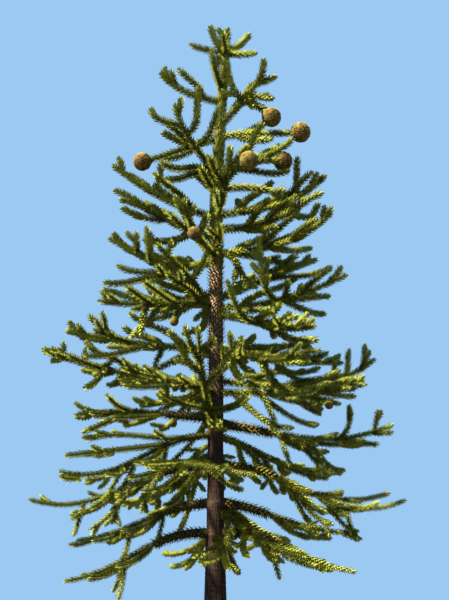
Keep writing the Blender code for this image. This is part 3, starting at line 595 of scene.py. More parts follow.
def grow():
    """Axes first, then side shoots and cones where there is room for them."""
    room = Room()
    heights = np.arange(0.0, TRUNK_TOP, TRUNK_ROOM_STEP)
    for low, high in zip(heights[:-1], heights[1:]):
        trunk_part = np.array([trunk_centre(low), trunk_centre(high)])
        room.add(trunk_part, ramp(low, TRUNK_PROFILE), "trunk")
    branches = {}
    for name, height, azimuth, reach, rise, root_pitch, tip_pitch, bare, _ in BRANCHES:
        axis = branch_axis(trunk_centre(height), azimuth, reach, rise, root_pitch, tip_pitch)
        branches[name] = new_branch(axis, bare)
        room.add(axis, LEAF_REACH, name)
    leader = np.array([trunk_centre(h) for h in np.arange(TRUNK_TOP, LEADER_TOP, PATH_STEP)])
    branches["leader"] = new_branch(leader)
    room.add(leader, LEAF_REACH, "leader")
    for azimuth, reach, rise, root_pitch, tip_pitch in LEADER_SHOOTS:
        path = branch_axis(leader[LEADER_FORK], azimuth, reach, rise, root_pitch, tip_pitch)
        branches["leader"]["shoots"].append(path)
        room.add(path, LEAF_REACH, "leader")
    for name, shoots in LONE_SHOOTS.items():
        for place, *end, tip_pitch in shoots:
            add_lone_shoot(branches[name], name, place, np.array(end), tip_pitch, room)
    for name, place, centre, radius in CONES:
        add_cone(branches[name], name, place, np.array(centre), radius, room)
    for name, *_, stations in reversed(BRANCHES):
        add_shoots(branches[name], name, stations.split(), room)
    return branches, room


def add_shoots(branch, name, stations, room):
    """Every station's shoots, skipping those with no room."""
    draw = random.Random(f"{SEED} {name}")
    axis = branch["axis"]
    length = PATH_STEP * (len(axis) - 1)
    first = max(FIRST_STATION, branch["bare"] + PAST_BOUGH)
    for place, letters in zip(np.linspace(first, LAST_STATION, len(stations)), stations):
        for letter in letters:
            shift = draw.uniform(-STATION_SHIFT, STATION_SHIFT)
            index = round((place + shift) * (len(axis) - 1))
            shoot = side_shoot(axis, index, letter, (1 - place) * length, draw)
            if room.is_clear(shoot, LEAF_REACH, name, len(shoot) // 2):
                branch["shoots"].append(shoot)
                room.add(shoot, LEAF_REACH, name)


def add_lone_shoot(branch, name, place, end, tip_pitch, room):
    """A shoot from a place on the axis to a given end, where it rises at tip_pitch."""
    axis = branch["axis"]
    index = round(place * (len(axis) - 1))
    reach = end - axis[index]
    azimuth = math.degrees(math.atan2(reach[1], reach[0]))
    root_pitch = math.degrees(math.asin(frame_at(axis, index)[0][2])) / 2
    level = math.hypot(reach[0], reach[1])
    path = branch_axis(axis[index], azimuth, level, reach[2], root_pitch, tip_pitch)
    branch["shoots"].append(path)
    room.add(path, LEAF_REACH, name)


def add_cone(branch, name, place, centre, radius, room):
    """A cone on the branch's tip, or on the end of a shoot that leaves the axis at a place."""
    axis = branch["axis"]
    if place < 1:
        index = round(place * (len(axis) - 1))
        forward = frame_at(axis, index)[0]
        reach = centre - axis[index]
        handle = HANDLE_SHARE * np.linalg.norm(reach)
        t = np.linspace(0.0, 1.0, CURVE_STEPS)[:, None]
        bent = axis[index] + 3 * (1 - t) ** 2 * t * handle * forward + t * t * (3 - 2 * t) * reach
        stalk = even_steps(bent, PATH_STEP)
        branch["shoots"].append(stalk)
        room.add(stalk, LEAF_REACH, name)
    branch["cones"].append((centre, radius))
    room.add(np.array([centre, centre + UP * FACE_GAP]), radius, name)


# Finer growth


def slimness(path):
    """How thick a shoot is, 1 for the crown's top ones and less for those of low branches."""
    return ramp(path[len(path) // 2][2], SLIMNESS)


def turned_shoot(path, index, turn, close_to, length, sag, draw):
    """A shoot that leaves a host at a turn round it (degrees) and closes toward it.

    A turn of 0 is to the left, 90 above and -90 below. sag is how far the shoot droops before
    its tip turns up.
    """
    forward, _, side, above = frame_at(path, index)
    away = side * math.cos(math.radians(turn)) + above * math.sin(math.radians(turn))
    spread = math.radians(draw.uniform(*TURNED_SPREAD))
    close = math.radians(draw.uniform(*close_to))
    first = unit(forward * math.cos(spread) + away * math.sin(spread))
    onward = forward * math.cos(close) + away * math.sin(close)
    middle = unit(onward - UP * sag)
    last = unit(onward + UP * draw.uniform(*TURNED_UPTURN))
    near = bend(path[index], first, middle, length * SAG_PLACE)
    return np.vstack([near, bend(near[-1], middle, last, length * (1 - SAG_PLACE))[1:]])


def far_out(point):
    """Distance from the trunk's foot, seen from above."""
    return math.hypot(point[0], point[1])


def add_turned(branch, kind, path, name, room, gaps, limit):
    """Keeps a finer shoot if there is room for it. Slim shoots stand closer together."""
    if far_out(path[-1]) > limit:
        return
    outer = round(FINER_OUTER * len(path))
    spare = 2 * LEAF_REACH * (1 - slimness(path))
    if room.is_clear(path, LEAF_REACH, name, outer, (gaps[0] - spare, gaps[1] - spare)):
        branch[kind].append(path)
        room.add(path, LEAF_REACH, name)


def add_infill(branch, name, room):
    """Shoots round the axis, above and below the plane in which the solids spread theirs."""
    draw = random.Random(f"{SEED} {name} infill")
    axis = branch["axis"]
    length = PATH_STEP * (len(axis) - 1)
    limit = ramp(axis[0][2], INFILL_LIMITS) * far_out(axis[-1])
    turns = LOW_INFILL_TURNS if axis[0][2] < LOW_INFILL_UNDER else INFILL_TURNS
    sag = ramp(axis[0][2], SAG)
    places = np.arange(branch["bare"] * length + INFILL_FIRST, length - INFILL_LAST, INFILL_STEP)
    for number, place in enumerate(places):
        for turn in turns[number % 2]:
            turn += draw.uniform(-INFILL_TURN_VARIES, INFILL_TURN_VARIES)
            index = round((place + draw.uniform(0, INFILL_STEP / 2)) / PATH_STEP)
            index = min(index, len(axis) - 2)
            reach = INFILL_LENGTH + INFILL_PER_METRE * (length - place)
            reach *= draw.uniform(*LENGTH_SHARES)
            shoot = turned_shoot(axis, index, turn, INFILL_CLOSE, reach, sag, draw)
            add_turned(branch, "shoots", shoot, name, room, INFILL_GAPS, limit)


def add_fingers(branch, name, room):
    """Short shoots near the ends of the side shoots and of the axis, like a spread hand."""
    draw = random.Random(f"{SEED} {name} fingers")
    limit = max(far_out(path[-1]) for path in branch["shoots"] + [branch["axis"]])
    for host in branch["shoots"] + [branch["axis"][-TIP_HOST_POINTS:]]:
        length = PATH_STEP * (len(host) - 1)
        if length < FINGER_SHORTEST_HOST:
            continue
        for place in np.arange(length - FINGER_FIRST, FINGER_LAST, -FINGER_STEP):
            for hand in FINGER_TURNS:
                chance, turn = draw.random(), hand + draw.uniform(*FINGER_TURN_VARIES)
                reach = draw.uniform(*FINGER_LENGTHS)
                index = round(place / PATH_STEP)
                path = turned_shoot(host, index, turn, FINGER_CLOSE, reach, 0.0, draw)
                if chance < FINGER_CHANCE:
                    add_turned(branch, "fingers", path, name, room, FINGER_GAPS, limit)


def add_hand(branch, name, room):
    """Short shoots that spread up and out round the branch's own end."""
    draw = random.Random(f"{SEED} {name} hand")
    axis = branch["axis"]
    if axis[0][2] < HANDS_FROM:
        return
    limit = far_out(axis[-1]) + HAND_OVERREACH
    for back, turn in HAND_SHOOTS:
        index = len(axis) - 1 - round(back / PATH_STEP)
        turn += draw.uniform(-HAND_TURN_VARIES, HAND_TURN_VARIES)
        reach = draw.uniform(*HAND_LENGTHS)
        path = turned_shoot(axis, max(index, 1), turn, HAND_CLOSE, reach, 0.0, draw)
        add_turned(branch, "fingers", path, name, room, HAND_GAPS, limit)


def grow_finer(branches, room):
    """Carries the rule on, within the reach that the solids have."""
    for name, branch in branches.items():
        add_infill(branch, name, room)
    for name, branch in branches.items():
        add_hand(branch, name, room)
        add_fingers(branch, name, room)


# Paths and tubes


def units(vectors):
    """Each row of an array as a unit vector."""
    return vectors / np.linalg.norm(vectors, axis=1)[:, None]


def steady_frames(path, places):
    """Centre, direction ahead and two steady directions across, at places along a path."""
    ahead = units(np.gradient(path, axis=0))
    across = np.empty_like(ahead)
    across[0] = unit(np.cross(ahead[0], OFF_ANY_PATH))
    for k in range(1, len(path)):
        across[k] = unit(across[k - 1] - ahead[k] * across[k - 1].dot(ahead[k]))
    lengths = path_lengths(path)
    columns = (path, ahead, across, np.cross(ahead, across))
    return [read_along(column, lengths, places) for column in columns]


def ring_grid(sides, places):
    """Angle and place of every vertex of a tube's rings."""
    return np.meshgrid(np.arange(sides) * 2 * math.pi / sides, places)


def ring_quads(rings, sides):
    """Quads that join rings of vertices, one after the other."""
    ring, side = np.meshgrid(np.arange(rings - 1), np.arange(sides), indexing="ij")
    low = (ring * sides + side).ravel()
    after = (ring * sides + (side + 1) % sides).ravel()
    return np.column_stack([low, after, after + sides, low + sides])


def tube(path, places, radius):
    """A tube's vertices and faces. radius has a row of vertices for each place on the path."""
    centre, _, across, other = steady_frames(path, places)
    angle = ring_grid(radius.shape[1], places)[0][..., None]
    spokes = np.cos(angle) * across[:, None] + np.sin(angle) * other[:, None]
    vertices = (centre[:, None] + radius[..., None] * spokes).reshape(-1, 3)
    return vertices, ring_quads(*radius.shape), NO_TRIANGLES


def stem_tube(path, radii):
    """A slim tube with a pointed end, its radius read between two values."""
    length = path_lengths(path)[-1]
    count = max(3, round(length / STEM_STEP) + 1)
    radius = np.linspace(*radii, count)
    radius[-1] = STEM_POINT
    return tube(path, np.linspace(0, length, count), np.repeat(radius[:, None], STEM_SIDES, axis=1))


# Leaves


class Look(typing.NamedTuple):
    """How a stretch of stem is clothed.

    The stem's radius at its root and tip, the leaves' length and width, the area of stem that
    each takes, and how far they stand out at the root and at the tip (degrees).
    """

    stem: tuple
    length: float
    width: float
    area: float
    tilt: tuple


AXIS_LOOK = Look((0.019, 0.0115), 0.040, 0.024, 0.00038, (68, 52))
SIDE_LOOK = Look((0.0152, 0.0125), 0.041, 0.025, 0.00038, (63, 51))
FINGER_LOOK = Look((0.0140, 0.0122), 0.037, 0.025, 0.00038, (55, 45))
BOUGH_LOOK = Look((0.036, 0.030), 0.036, 0.022, 0.00075, (66, 58))
TRUNK_LOOK = Look((0.050, 0.025), 0.048, 0.028, 0.00065, (36, 40))
STUB_LOOK = Look((0.062, 0.050), 0.044, 0.015, 0.00090, (68, 60))


def seeded_from(draw):
    """A generator of arrays, seeded by the next draw."""
    return np.random.default_rng(draw.randrange(SEED_RANGE))


def leaf_places(look, total, slim):
    """Places along a stem, each leaf taking its area of the stem's skin."""
    steps = np.linspace(0, total, LEAF_STEPS)
    scale = np.linspace(*slim, LEAF_STEPS)
    around = 2 * math.pi * scale * (np.linspace(*look.stem, LEAF_STEPS) + LEAF_MARGIN)
    density = around / (look.area * scale)
    count = np.r_[0.0, np.cumsum((density[1:] + density[:-1]) / 2 * np.diff(steps))]
    return np.interp(np.arange(0.5, count[-1]), count, steps)


def leaf_frames(path, places, draw, seeded):
    """Centre, direction ahead and direction outward of the leaves in their spiral."""
    centre, ahead, across, _ = steady_frames(path, places)
    ahead = units(ahead)
    across = units(across - ahead * (across * ahead).sum(1)[:, None])
    turn = GOLDEN_ANGLE * np.arange(len(places)) + draw.uniform(0, 2 * math.pi)
    turn += seeded.normal(0, TURN_VARIES, len(places))
    outward = np.cos(turn)[:, None] * across + np.sin(turn)[:, None] * np.cross(ahead, across)
    return centre, ahead, outward


def blades(root, ahead, outward, lean, length, width):
    """The seven corners of every leaf: a keeled blade, widest low down, its point curved in."""
    along = np.cos(lean)[:, None] * ahead + np.sin(lean)[:, None] * outward
    upper = np.sin(lean)[:, None] * ahead - np.cos(lean)[:, None] * outward
    half = np.cross(ahead, outward) * width[:, None] / 2
    keel = upper * (width * KEEL_DEPTH)[:, None]
    curl = upper * (length * INCURVE)[:, None]
    tall = along * length[:, None]
    waist = root + WAIST_PLACE * tall - curl * WAIST_CURL
    return np.stack([
        root - half * BASE_WIDTH, root - keel, root + half * BASE_WIDTH,
        waist - half, waist - keel, waist + half,
        root + tall + curl * POINT_CURL,
    ], axis=1)


LEAF_QUADS = np.array([(0, 1, 4, 3), (1, 2, 5, 4)])
LEAF_TRIANGLES = np.array([(3, 4, 6), (4, 5, 6)])
CORNERS_PER_LEAF, TRIANGLES_PER_LEAF = 7, 6


def clothe(leaves, path, look, tone, draw, slim=(1.0, 1.0), growing=True):
    """Sets leaves on a path. tone is the colour's number at its root and at its tip.

    slim is the share of the look's size that the stem and leaves have at either end.
    """
    total = path_lengths(path)[-1]
    places = leaf_places(look, total, slim)
    seeded = seeded_from(draw)
    centre, ahead, outward = leaf_frames(path, places, draw, seeded)
    share, to_end = places / total, total - places
    lean = np.interp(share, (0, 1), look.tilt) + seeded.normal(0, TILT_VARIES, len(places))
    size = seeded.uniform(*LEAF_SIZES, len(places))
    size *= np.interp(places, (0, ROOT_RUN), (SIZE_AT_ROOT, 1))
    since = (places + draw.uniform(0, 1)) % draw.uniform(*YEAR_LENGTH)
    size *= 1 - YEAR_WAIST * np.exp(-(since / YEAR_WAIST_RUN) ** 2)
    scale = np.interp(share, (0, 1), slim)
    size *= scale ** LEAF_SLIMS
    radius = np.interp(share, (0, 1), look.stem) * LEAF_SUNK * scale
    if growing:
        near = np.clip(1 - to_end / END_RUN, 0, 1)
        lean += (TILT_AT_END - lean) * near
        size *= 1 - (1 - SIZE_AT_END) * near
        radius *= 1 - (1 - STEM_AT_END) * near
    root = centre + radius[:, None] * outward
    corners = blades(root, ahead, outward, np.radians(lean), look.length * size, look.width * size)
    colours = leaf_tones(tone, share, to_end, growing, draw, seeded)
    for number, (name, _) in enumerate(LEAF_COLOURS):
        leaves[name].append(corners[colours == number])


def leaf_tones(tone, share, to_end, growing, draw, seeded):
    """The colour's number of each leaf, much the same along one shoot."""
    shade = np.interp(share, (0, 1), tone) + draw.uniform(*SHOOT_SHADE_VARIES)
    shade += seeded.normal(0, SHADE_VARIES, len(share))
    colours = np.clip(np.round(shade), BRIGHT, DEAD).astype(int)
    if growing:
        run = TIP_RUN * draw.uniform(*TIP_RUN_VARIES)
        young = (to_end < run) & (seeded.random(len(share)) < TIP_SHARE)
        colours[young] = TIP
    return colours


# Meshes


NO_QUADS, NO_TRIANGLES = np.zeros((0, 4), int), np.zeros((0, 3), int)


def new_object(name, data):
    """An object of the scene that shows a mesh, a light or a camera."""
    thing = bpy.data.objects.new(name, data)
    bpy.context.scene.collection.objects.link(thing)
    return thing


def mesh_object(name, vertices, quads, triangles=NO_TRIANGLES):
    """A new object from arrays of vertices and faces."""
    mesh = bpy.data.meshes.new(name)
    mesh.vertices.add(len(vertices))
    mesh.vertices.foreach_set("co", np.ascontiguousarray(vertices, np.float32).ravel())
    corners = np.r_[quads.ravel(), triangles.ravel()].astype(np.int32)
    starts = np.r_[np.arange(len(quads)) * 4, 4 * len(quads) + np.arange(len(triangles)) * 3]
    mesh.loops.add(len(corners))
    mesh.loops.foreach_set("vertex_index", corners)
    mesh.polygons.add(len(starts))
    mesh.polygons.foreach_set("loop_start", starts.astype(np.int32))
    mesh.update(calc_edges=True)
    mesh.validate()
    return new_object(name, mesh)


def joined(name, parts):
    """One object from many sets of vertices, quads and triangles."""
    vertices, quads, triangles = zip(*parts)
    starts = np.cumsum([0] + [len(points) for points in vertices])
    quads, triangles = (
        np.concatenate([faces + start for faces, start in zip(kind, starts)])
        for kind in (quads, triangles)
    )
    return mesh_object(name, np.concatenate(vertices), quads, triangles)


def dress(thing, material, replaced=(), smooth=False):
    """Gives a piece its material, its body and the nodes it stands for."""
    thing.data.materials.append(material)
    if smooth:
        thing.data.shade_smooth()
    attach(thing, "root")
    if replaced:
        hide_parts(*replaced)
    return thing


def leaf_pieces(leaves, materials, replaced):
    """Joins the leaves of each colour into pieces under the limit of triangles."""
    most = MOST_TRIANGLES // TRIANGLES_PER_LEAF
    for name, groups in leaves.items():
        every = np.concatenate(groups)
        for number, start in enumerate(range(0, len(every), most)):
            part = every[start:start + most]
            offset = (np.arange(len(part)) * CORNERS_PER_LEAF)[:, None, None]
            quads = (LEAF_QUADS[None] + offset).reshape(-1, 4)
            triangles = (LEAF_TRIANGLES[None] + offset).reshape(-1, 3)
            corners = part.reshape(-1, 3)
            thing = mesh_object(f"leaves_{name}_{number + 1}", corners, quads, triangles)
            dress(thing, materials[name], replaced)


def write_values(thing, name, values):
    """A number for each vertex, which the material reads by name."""
    attribute = thing.data.attributes.new(name, "FLOAT", "POINT")
    attribute.data.foreach_set("value", np.asarray(values, np.float32))


# Trunk and boughs


def wave_sum(draw, waves, angle, height):
    """Random waves over an angle and a height, added up and scaled to about one."""
    count, turns, rates = waves
    total, square = 0, 0
    for _ in range(count):
        m = draw.randint(*turns)
        rate = draw.uniform(*rates) * draw.choice((-1, 1))
        a, phase = draw.uniform(*WAVE_HEIGHTS), draw.uniform(*WAVE_PHASES)
        total = total + a * np.cos(m * angle + rate * height + phase)
        square += a * a
    return total / math.sqrt(square / 2)


def scar_lattice(angle, height):
    """0 on a leaf scar's pad and 1 in the groove between the diamonds."""
    turn = angle / (2 * math.pi)
    right = (SCAR_RIGHT * turn + height / SCAR_PITCH) % 1
    left = (SCAR_LEFT * turn - height / SCAR_PITCH) % 1
    return np.maximum(abs(right - 0.5), abs(left - 0.5)) * 2


def trunk_relief(angle, height):
    """How far the bark stands out of the wood, and what its material reads.

    Each value has a row for each ring, then its number at the foot and at the top.
    """
    draw = random.Random(f"{SEED} trunk relief")
    wrinkles = wave_sum(draw, WRINKLES, angle, height)
    fissures = wave_sum(draw, FISSURES, angle, height)
    lumps = wave_sum(draw, LUMPS, angle, height)
    groove = scar_lattice(angle + SCAR_TURN_WANDER * lumps, height + SCAR_RISE_WANDER * wrinkles)
    scarred = np.interp(height, *zip(*SCARRED))
    barky = np.interp(height, *zip(*BARKY))
    above = [(height - h + WHORL_WANDER * lumps) / WHORL_RUN for h in WHORL_HEIGHTS]
    swell = sum(np.exp(-share ** 2) for share in above)
    cracks = np.maximum(0, fissures - FISSURE_FROM)
    lobes = np.cos(FLARE_LOBES * angle + LOBE_TURN) - LOBE_SUNK
    relief = SCAR_DEPTH * scarred * (1 - groove ** SCAR_EDGE)
    relief += BARK_DEPTH * barky * (WRINKLE_SHARE * wrinkles - FISSURE_SHARE * cracks)
    swollen = WHORL_SWELL * np.minimum(swell, WHORL_MOST) * (1 + WHORL_WRINKLES * wrinkles)
    relief += LUMP_DEPTH * lumps + swollen
    relief += np.exp(-height / FLARE_RUN) * LOBE_DEPTH * lobes
    crack = np.clip(CRACK_MIDDLE + CRACK_SHARE * wrinkles + CRACK_SHARE * fissures, 0, 1)
    return relief, {
        # The groove's value carries the painted shade of the grooves between the scars.
        "scar_groove": (groove ** SCAR_SHADE, 1.0, 1.0),
        "scarred": (scarred, 0.0, 1.0),
        "crack": (crack, 1.0, 1.0),
        "whorl": (np.minimum(swell, 1), 0.0, 0.0),
    }


def make_trunk_mesh():
    """Trunk with flare, horizontal wrinkles, swollen whorls and a lattice of leaf scars."""
    rings = round(TRUNK_TOP / TRUNK_RING_STEP) + 1
    heights = np.linspace(0, TRUNK_TOP, rings)
    angle, height = ring_grid(TRUNK_SEGMENTS, heights)
    relief, values = trunk_relief(angle, height)
    radius = np.interp(heights, *zip(*TRUNK_PROFILE))[:, None] + relief - BARK_SUNK
    centres = np.array([trunk_centre(h) for h in heights])
    x = centres[:, 0:1] + radius * np.cos(angle)
    y = centres[:, 1:2] + radius * np.sin(angle)
    vertices = np.stack([x, y, height], axis=2).reshape(-1, 3)
    foot, last = len(vertices), len(vertices) - TRUNK_SEGMENTS
    sides = np.arange(TRUNK_SEGMENTS)
    after = (sides + 1) % TRUNK_SEGMENTS
    foot_face = np.column_stack([after, sides, np.full(TRUNK_SEGMENTS, foot)])
    top_face = np.column_stack([last + sides, last + after, np.full(TRUNK_SEGMENTS, foot + 1)])
    thing = mesh_object(
        "trunk_bark", np.vstack([vertices, centres[0], centres[-1]]),
        ring_quads(rings, TRUNK_SEGMENTS), np.vstack([foot_face, top_face]))
    for name, (grid, at_foot, at_top) in values.items():
        write_values(thing, name, np.r_[grid.ravel(), at_foot, at_top])
    add_wrap_map(thing, rings, TRUNK_SEGMENTS)
    return thing


def add_wrap_map(thing, rings, sides):
    """A map that unrolls the bark once round and end to end."""
    mesh = thing.data
    corners = np.empty(len(mesh.loops), np.int32)
    mesh.loops.foreach_get("vertex_index", corners)
    across = (corners % sides) / sides
    up = (corners // sides) / (rings - 1)
    quads = (rings - 1) * sides
    first = across[:4 * quads].reshape(-1, 4)
    wraps = first.max(1) - first.min(1) > 0.5
    first[wraps] = np.where(first[wraps] < 0.5, first[wraps] + 1, first[wraps])
    values = np.column_stack([across * sides / (sides + 1), np.minimum(up, 1.0)])
    layer = mesh.uv_layers.new(name="OFBake")
    layer.data.foreach_set("uv", values.astype(np.float32).ravel())


def make_bough_mesh(axis, bare, draw):
    """The tube of one bough with its relief, and its path from inside the trunk on."""
    path = axis[:round(bare * (len(axis) - 1)) + 2]
    length = path_lengths(path)[-1]
    places = np.linspace(0, length, round(length / BOUGH_RING_STEP))
    angle, place = ring_grid(BOUGH_SEGMENTS, places)
    bumps = wave_sum(draw, BOUGH_BUMPS, angle, place)
    radius = np.interp(place / length, (0, 1), (BOUGH_ROOT_RADIUS, BOUGH_TIP_RADIUS)) - BOUGH_SUNK
    collar = np.exp(-np.maximum(0, place - COLLAR_FROM) / COLLAR_RUN)
    radius += COLLAR_PROUD * collar + BOUGH_RELIEF * bumps
    return tube(path, places, radius), path


# Cones


SCALE_FACES = np.array([(0, 1, 4), (1, 2, 4), (2, 3, 5), (3, 0, 5), (0, 4, 5), (4, 2, 5)])


def cone_scales(centre, radius, draw):
    """A spiral of diamond scales, each with a ridge and a spine that turns up."""
    number = np.arange(CONE_SCALES)
    z = 1 - 2 * (number + 0.5) / CONE_SCALES
    turn = GOLDEN_ANGLE * number + draw.uniform(0, 2 * math.pi)
    ring = np.sqrt(1 - z * z)
    out = np.column_stack([ring * np.cos(turn), ring * np.sin(turn), z])
    out = units(out + seeded_from(draw).normal(0, SCALE_JITTER, out.shape))
    side = units(np.cross(UP, out))
    up = np.cross(out, side)
    across, tall = SCALE_WIDTH * radius, SCALE_HEIGHT * radius
    base = centre + CONE_CORE * SCALE_FOOT * radius * out
    crest = centre + radius * (out - up * SCALE_DROOP)
    spine = radius * np.interp(z, SPINE_HEIGHTS, SCALE_SPINES)[:, None]
    vertices = np.stack([
        base - side * across, base - up * tall, base + side * across, base + up * tall,
        crest, crest + (SPINE_LEAN * out + up) * spine,
    ], axis=1)
    triangles = (SCALE_FACES + (number * len(SCALE_CRESTS))[:, None, None]).reshape(-1, 3)
    return vertices.reshape(-1, 3), NO_QUADS, triangles


def round_core(centre, radius):
    """Vertices and faces of a ball of rings."""
    turn, polar = ring_grid(CONE_SIDES, np.linspace(POLE_GAP, math.pi - POLE_GAP, CONE_RINGS))
    x, y = np.sin(polar) * np.cos(turn), np.sin(polar) * np.sin(turn)
    vertices = centre + radius * np.stack([x, y, np.cos(polar)], axis=2).reshape(-1, 3)
    return vertices, ring_quads(CONE_RINGS, CONE_SIDES), NO_TRIANGLES


def make_cones(branches, material):
    """Every cone of the tree in one piece. Its scales' crests are marked for the material's painted
    shade in the gaps.
    """
    draw = random.Random(f"{SEED} cones")
    parts, crests = [], []
    for branch in branches.values():
        for centre, radius in branch["cones"]:
            core = round_core(centre, radius * CONE_CORE)
            parts += [core, cone_scales(centre, radius, draw)]
            crests += [np.zeros(len(core[0]))]
            crests += [np.tile(SCALE_CRESTS, CONE_SCALES) * draw.uniform(*RIPENESS)]
    thing = joined("cones", parts)
    write_values(thing, "crest", np.concatenate(crests))
    return dress(thing, material)


# Materials


class Nodes:
    """Short ways to add shader nodes to a new material."""

    def __init__(self, name):
        self.material = bpy.data.materials.new(name)
        self.material.use_nodes = True
        self.tree = self.material.node_tree
        self.shader = self.tree.nodes["Principled BSDF"]

    def feed(self, node, **values):
        """Sets each input to a number, a vector or a colour, or links it to an output.

        An underscore in an input's name stands for a space.
        """
        for name, value in values.items():
            socket = node.inputs[INPUT_NUMBERS.get(name, name.replace("_", " "))]
            if isinstance(value, bpy.types.NodeSocket):
                self.tree.links.new(value, socket)
            else:
                socket.default_value = (*value, 1.0) if socket.type == "RGBA" else value

    def add(self, kind, output, **values):
        """One output of a new node of this kind."""
        node = self.tree.nodes.new(f"ShaderNode{kind}")
        self.feed(node, **values)
        return node.outputs[output]

    def noise(self, scale, detail=4.0, stretch=(1, 1, 1)):
        """A noise in the object's own metres, of this many ripples to the metre."""
        place = self.add("TexCoord", "Object")
        place = self.add("Mapping", "Vector", Vector=place, Scale=stretch)
        return self.add(
            "TexNoise", "Fac", Vector=place, Scale=scale, Detail=detail, Roughness=NOISE_ROUGHNESS)

    def value(self, name):
        """A number that the mesh carries at each vertex."""
        output = self.add("Attribute", "Fac")
        output.node.attribute_name = name
        return output

    def remap(self, source, low, high, start=0.0, stop=1.0):
        """The source's run from start to stop, turned into one from low to high."""
        return self.add(
            "MapRange", "Result", Value=source, From_Min=start, From_Max=stop, To_Min=low, To_Max=high)

    def colours(self, source, stops):
        """A ramp of (place, colour) stops."""
        output = self.add("ValToRGB", "Color", Fac=source)
        elements = output.node.color_ramp.elements
        while len(elements) < len(stops):
            elements.new(0.5)
        for element, (place, colour) in zip(elements, stops):
            element.position = place
            element.color = (*colour, 1.0)
        return output

    def mix(self, share, first, second, way="MIX"):
        """Two colours mixed by a share."""
        node = self.tree.nodes.new("ShaderNodeMix")
        node.data_type = "RGBA"
        node.blend_type = way
        self.feed(node, share=share, first=first, second=second)
        return node.outputs[MIXED_COLOUR]

    def finish(self, colour, skin, stretch=(1, 1, 1)):
        """The material in this colour, with the relief and the gloss of a skin."""
        grain = self.noise(*skin.grain, stretch)
        normal = self.add("Bump", "Normal", Height=grain, Strength=skin.strength, Distance=skin.depth)
        rough = self.remap(self.noise(*skin.patches), *skin.roughness)
        self.feed(self.shader, Base_Color=colour, Normal=normal, Roughness=rough)
        self.feed(self.shader, Specular_IOR_Level=skin.shine)
        return self.material


class Skin(typing.NamedTuple):
    """A material's fine relief and its gloss.

    Scale and detail of the relief's noise, the relief's strength and depth, scale and detail
    of the roughness's noise, the roughness from its lows to its highs, and the shine.
    """

    grain: tuple
    strength: float
    depth: float
    patches: tuple
    roughness: tuple
    shine: float


LEAF_SKIN = Skin((420.0, 3.0), 0.25, 0.0006, (60.0, 4.0), (0.40, 0.66), 0.08)
STEM_SKIN = Skin((160.0, 4.0), 0.50, 0.0020, (90.0, 4.0), (0.60, 0.85), 0.2)
BOUGH_SKIN = Skin((150.0, 5.0), 0.60, 0.0030, (40.0, 4.0), (0.82, 0.97), 0.1)
TRUNK_SKIN = Skin((240.0, 5.0), 0.55, 0.0025, (70.0, 6.0), (0.80, 0.97), 0.1)
CONE_SKIN = Skin((210.0, 4.0), 0.50, 0.0020, (80.0, 4.0), (0.55, 0.80), 0.2)


def leaf_material(name, colour):
    """Stiff waxy leaf: one plain colour, with the sheen and the fine lines varied."""
    return Nodes(f"Leaves {name}").finish(colour, LEAF_SKIN, LEAF_LINES)


def mottled(name, noise, stops, skin):
    """A material whose colour follows a noise."""
    nodes = Nodes(name)
    return nodes.finish(nodes.colours(nodes.noise(*noise), stops), skin)


def trunk_material():
    """Bark: pink-tan diamond scars above, with painted shade in the grooves between them, grey-brown
    wrinkled bark below.
    """
    nodes = Nodes("Trunk bark")
    # The scars' own tan on the pads, and painted shade, near black, in the grooves.
    scars = nodes.colours(nodes.value("scar_groove"), SCAR_PAD_AND_GROOVE_SHADE_STOPS)
    bark = nodes.colours(nodes.value("crack"), BARK_STOPS)
    patchy = nodes.remap(nodes.noise(*BARK_PATCH_NOISE), 0.0, BARK_PATCH_MOST, *BARK_PATCH_RANGE)
    bark = nodes.mix(patchy, bark, BARK_PATCHES)
    bark = nodes.mix(nodes.remap(nodes.value("whorl"), 0.0, WHORL_BARK_MOST), bark, WHORL_BARK)
    scarred = nodes.remap(nodes.value("scarred"), 0.0, 1.0, *SCARRED_RANGE)
    colour = nodes.mix(scarred, bark, scars)
    shade = nodes.colours(nodes.noise(*TRUNK_SKIN.patches), FINE_SHADE)
    return nodes.finish(nodes.mix(1.0, colour, shade, "MULTIPLY"), TRUNK_SKIN)


def cone_material():
    """Ripening cone: painted shade, dark brown, in the gaps, ochre on the scales, yellow-green on
    their spines.
    """
    nodes = Nodes("Cones")
    # Dark brown where the crests are low: painted shade in the gaps between the scales.
    scales = nodes.colours(nodes.value("crest"), CONE_CREST_AND_GAP_SHADE_STOPS)
    green = nodes.remap(nodes.noise(*CONE_GREEN_NOISE), 0.0, CONE_GREEN_MOST, *CONE_GREEN_RANGE)
    scales = nodes.mix(green, scales, CONE_GREEN)
    shade = nodes.colours(nodes.noise(*CONE_SHADE_NOISE), CONE_SHADE)
    return nodes.finish(nodes.mix(1.0, scales, shade, "MULTIPLY"), CONE_SKIN)


def floor_material():
    """A plain pale floor, barely varied."""
    nodes = Nodes("Floor")
    colour = nodes.colours(nodes.noise(*FLOOR_NOISE), FLOOR_STOPS)
    nodes.feed(nodes.shader, Base_Color=colour, Roughness=FLOOR_ROUGHNESS)
    nodes.feed(nodes.shader, Specular_IOR_Level=FLOOR_SHINE)
    return nodes.material


# The tree


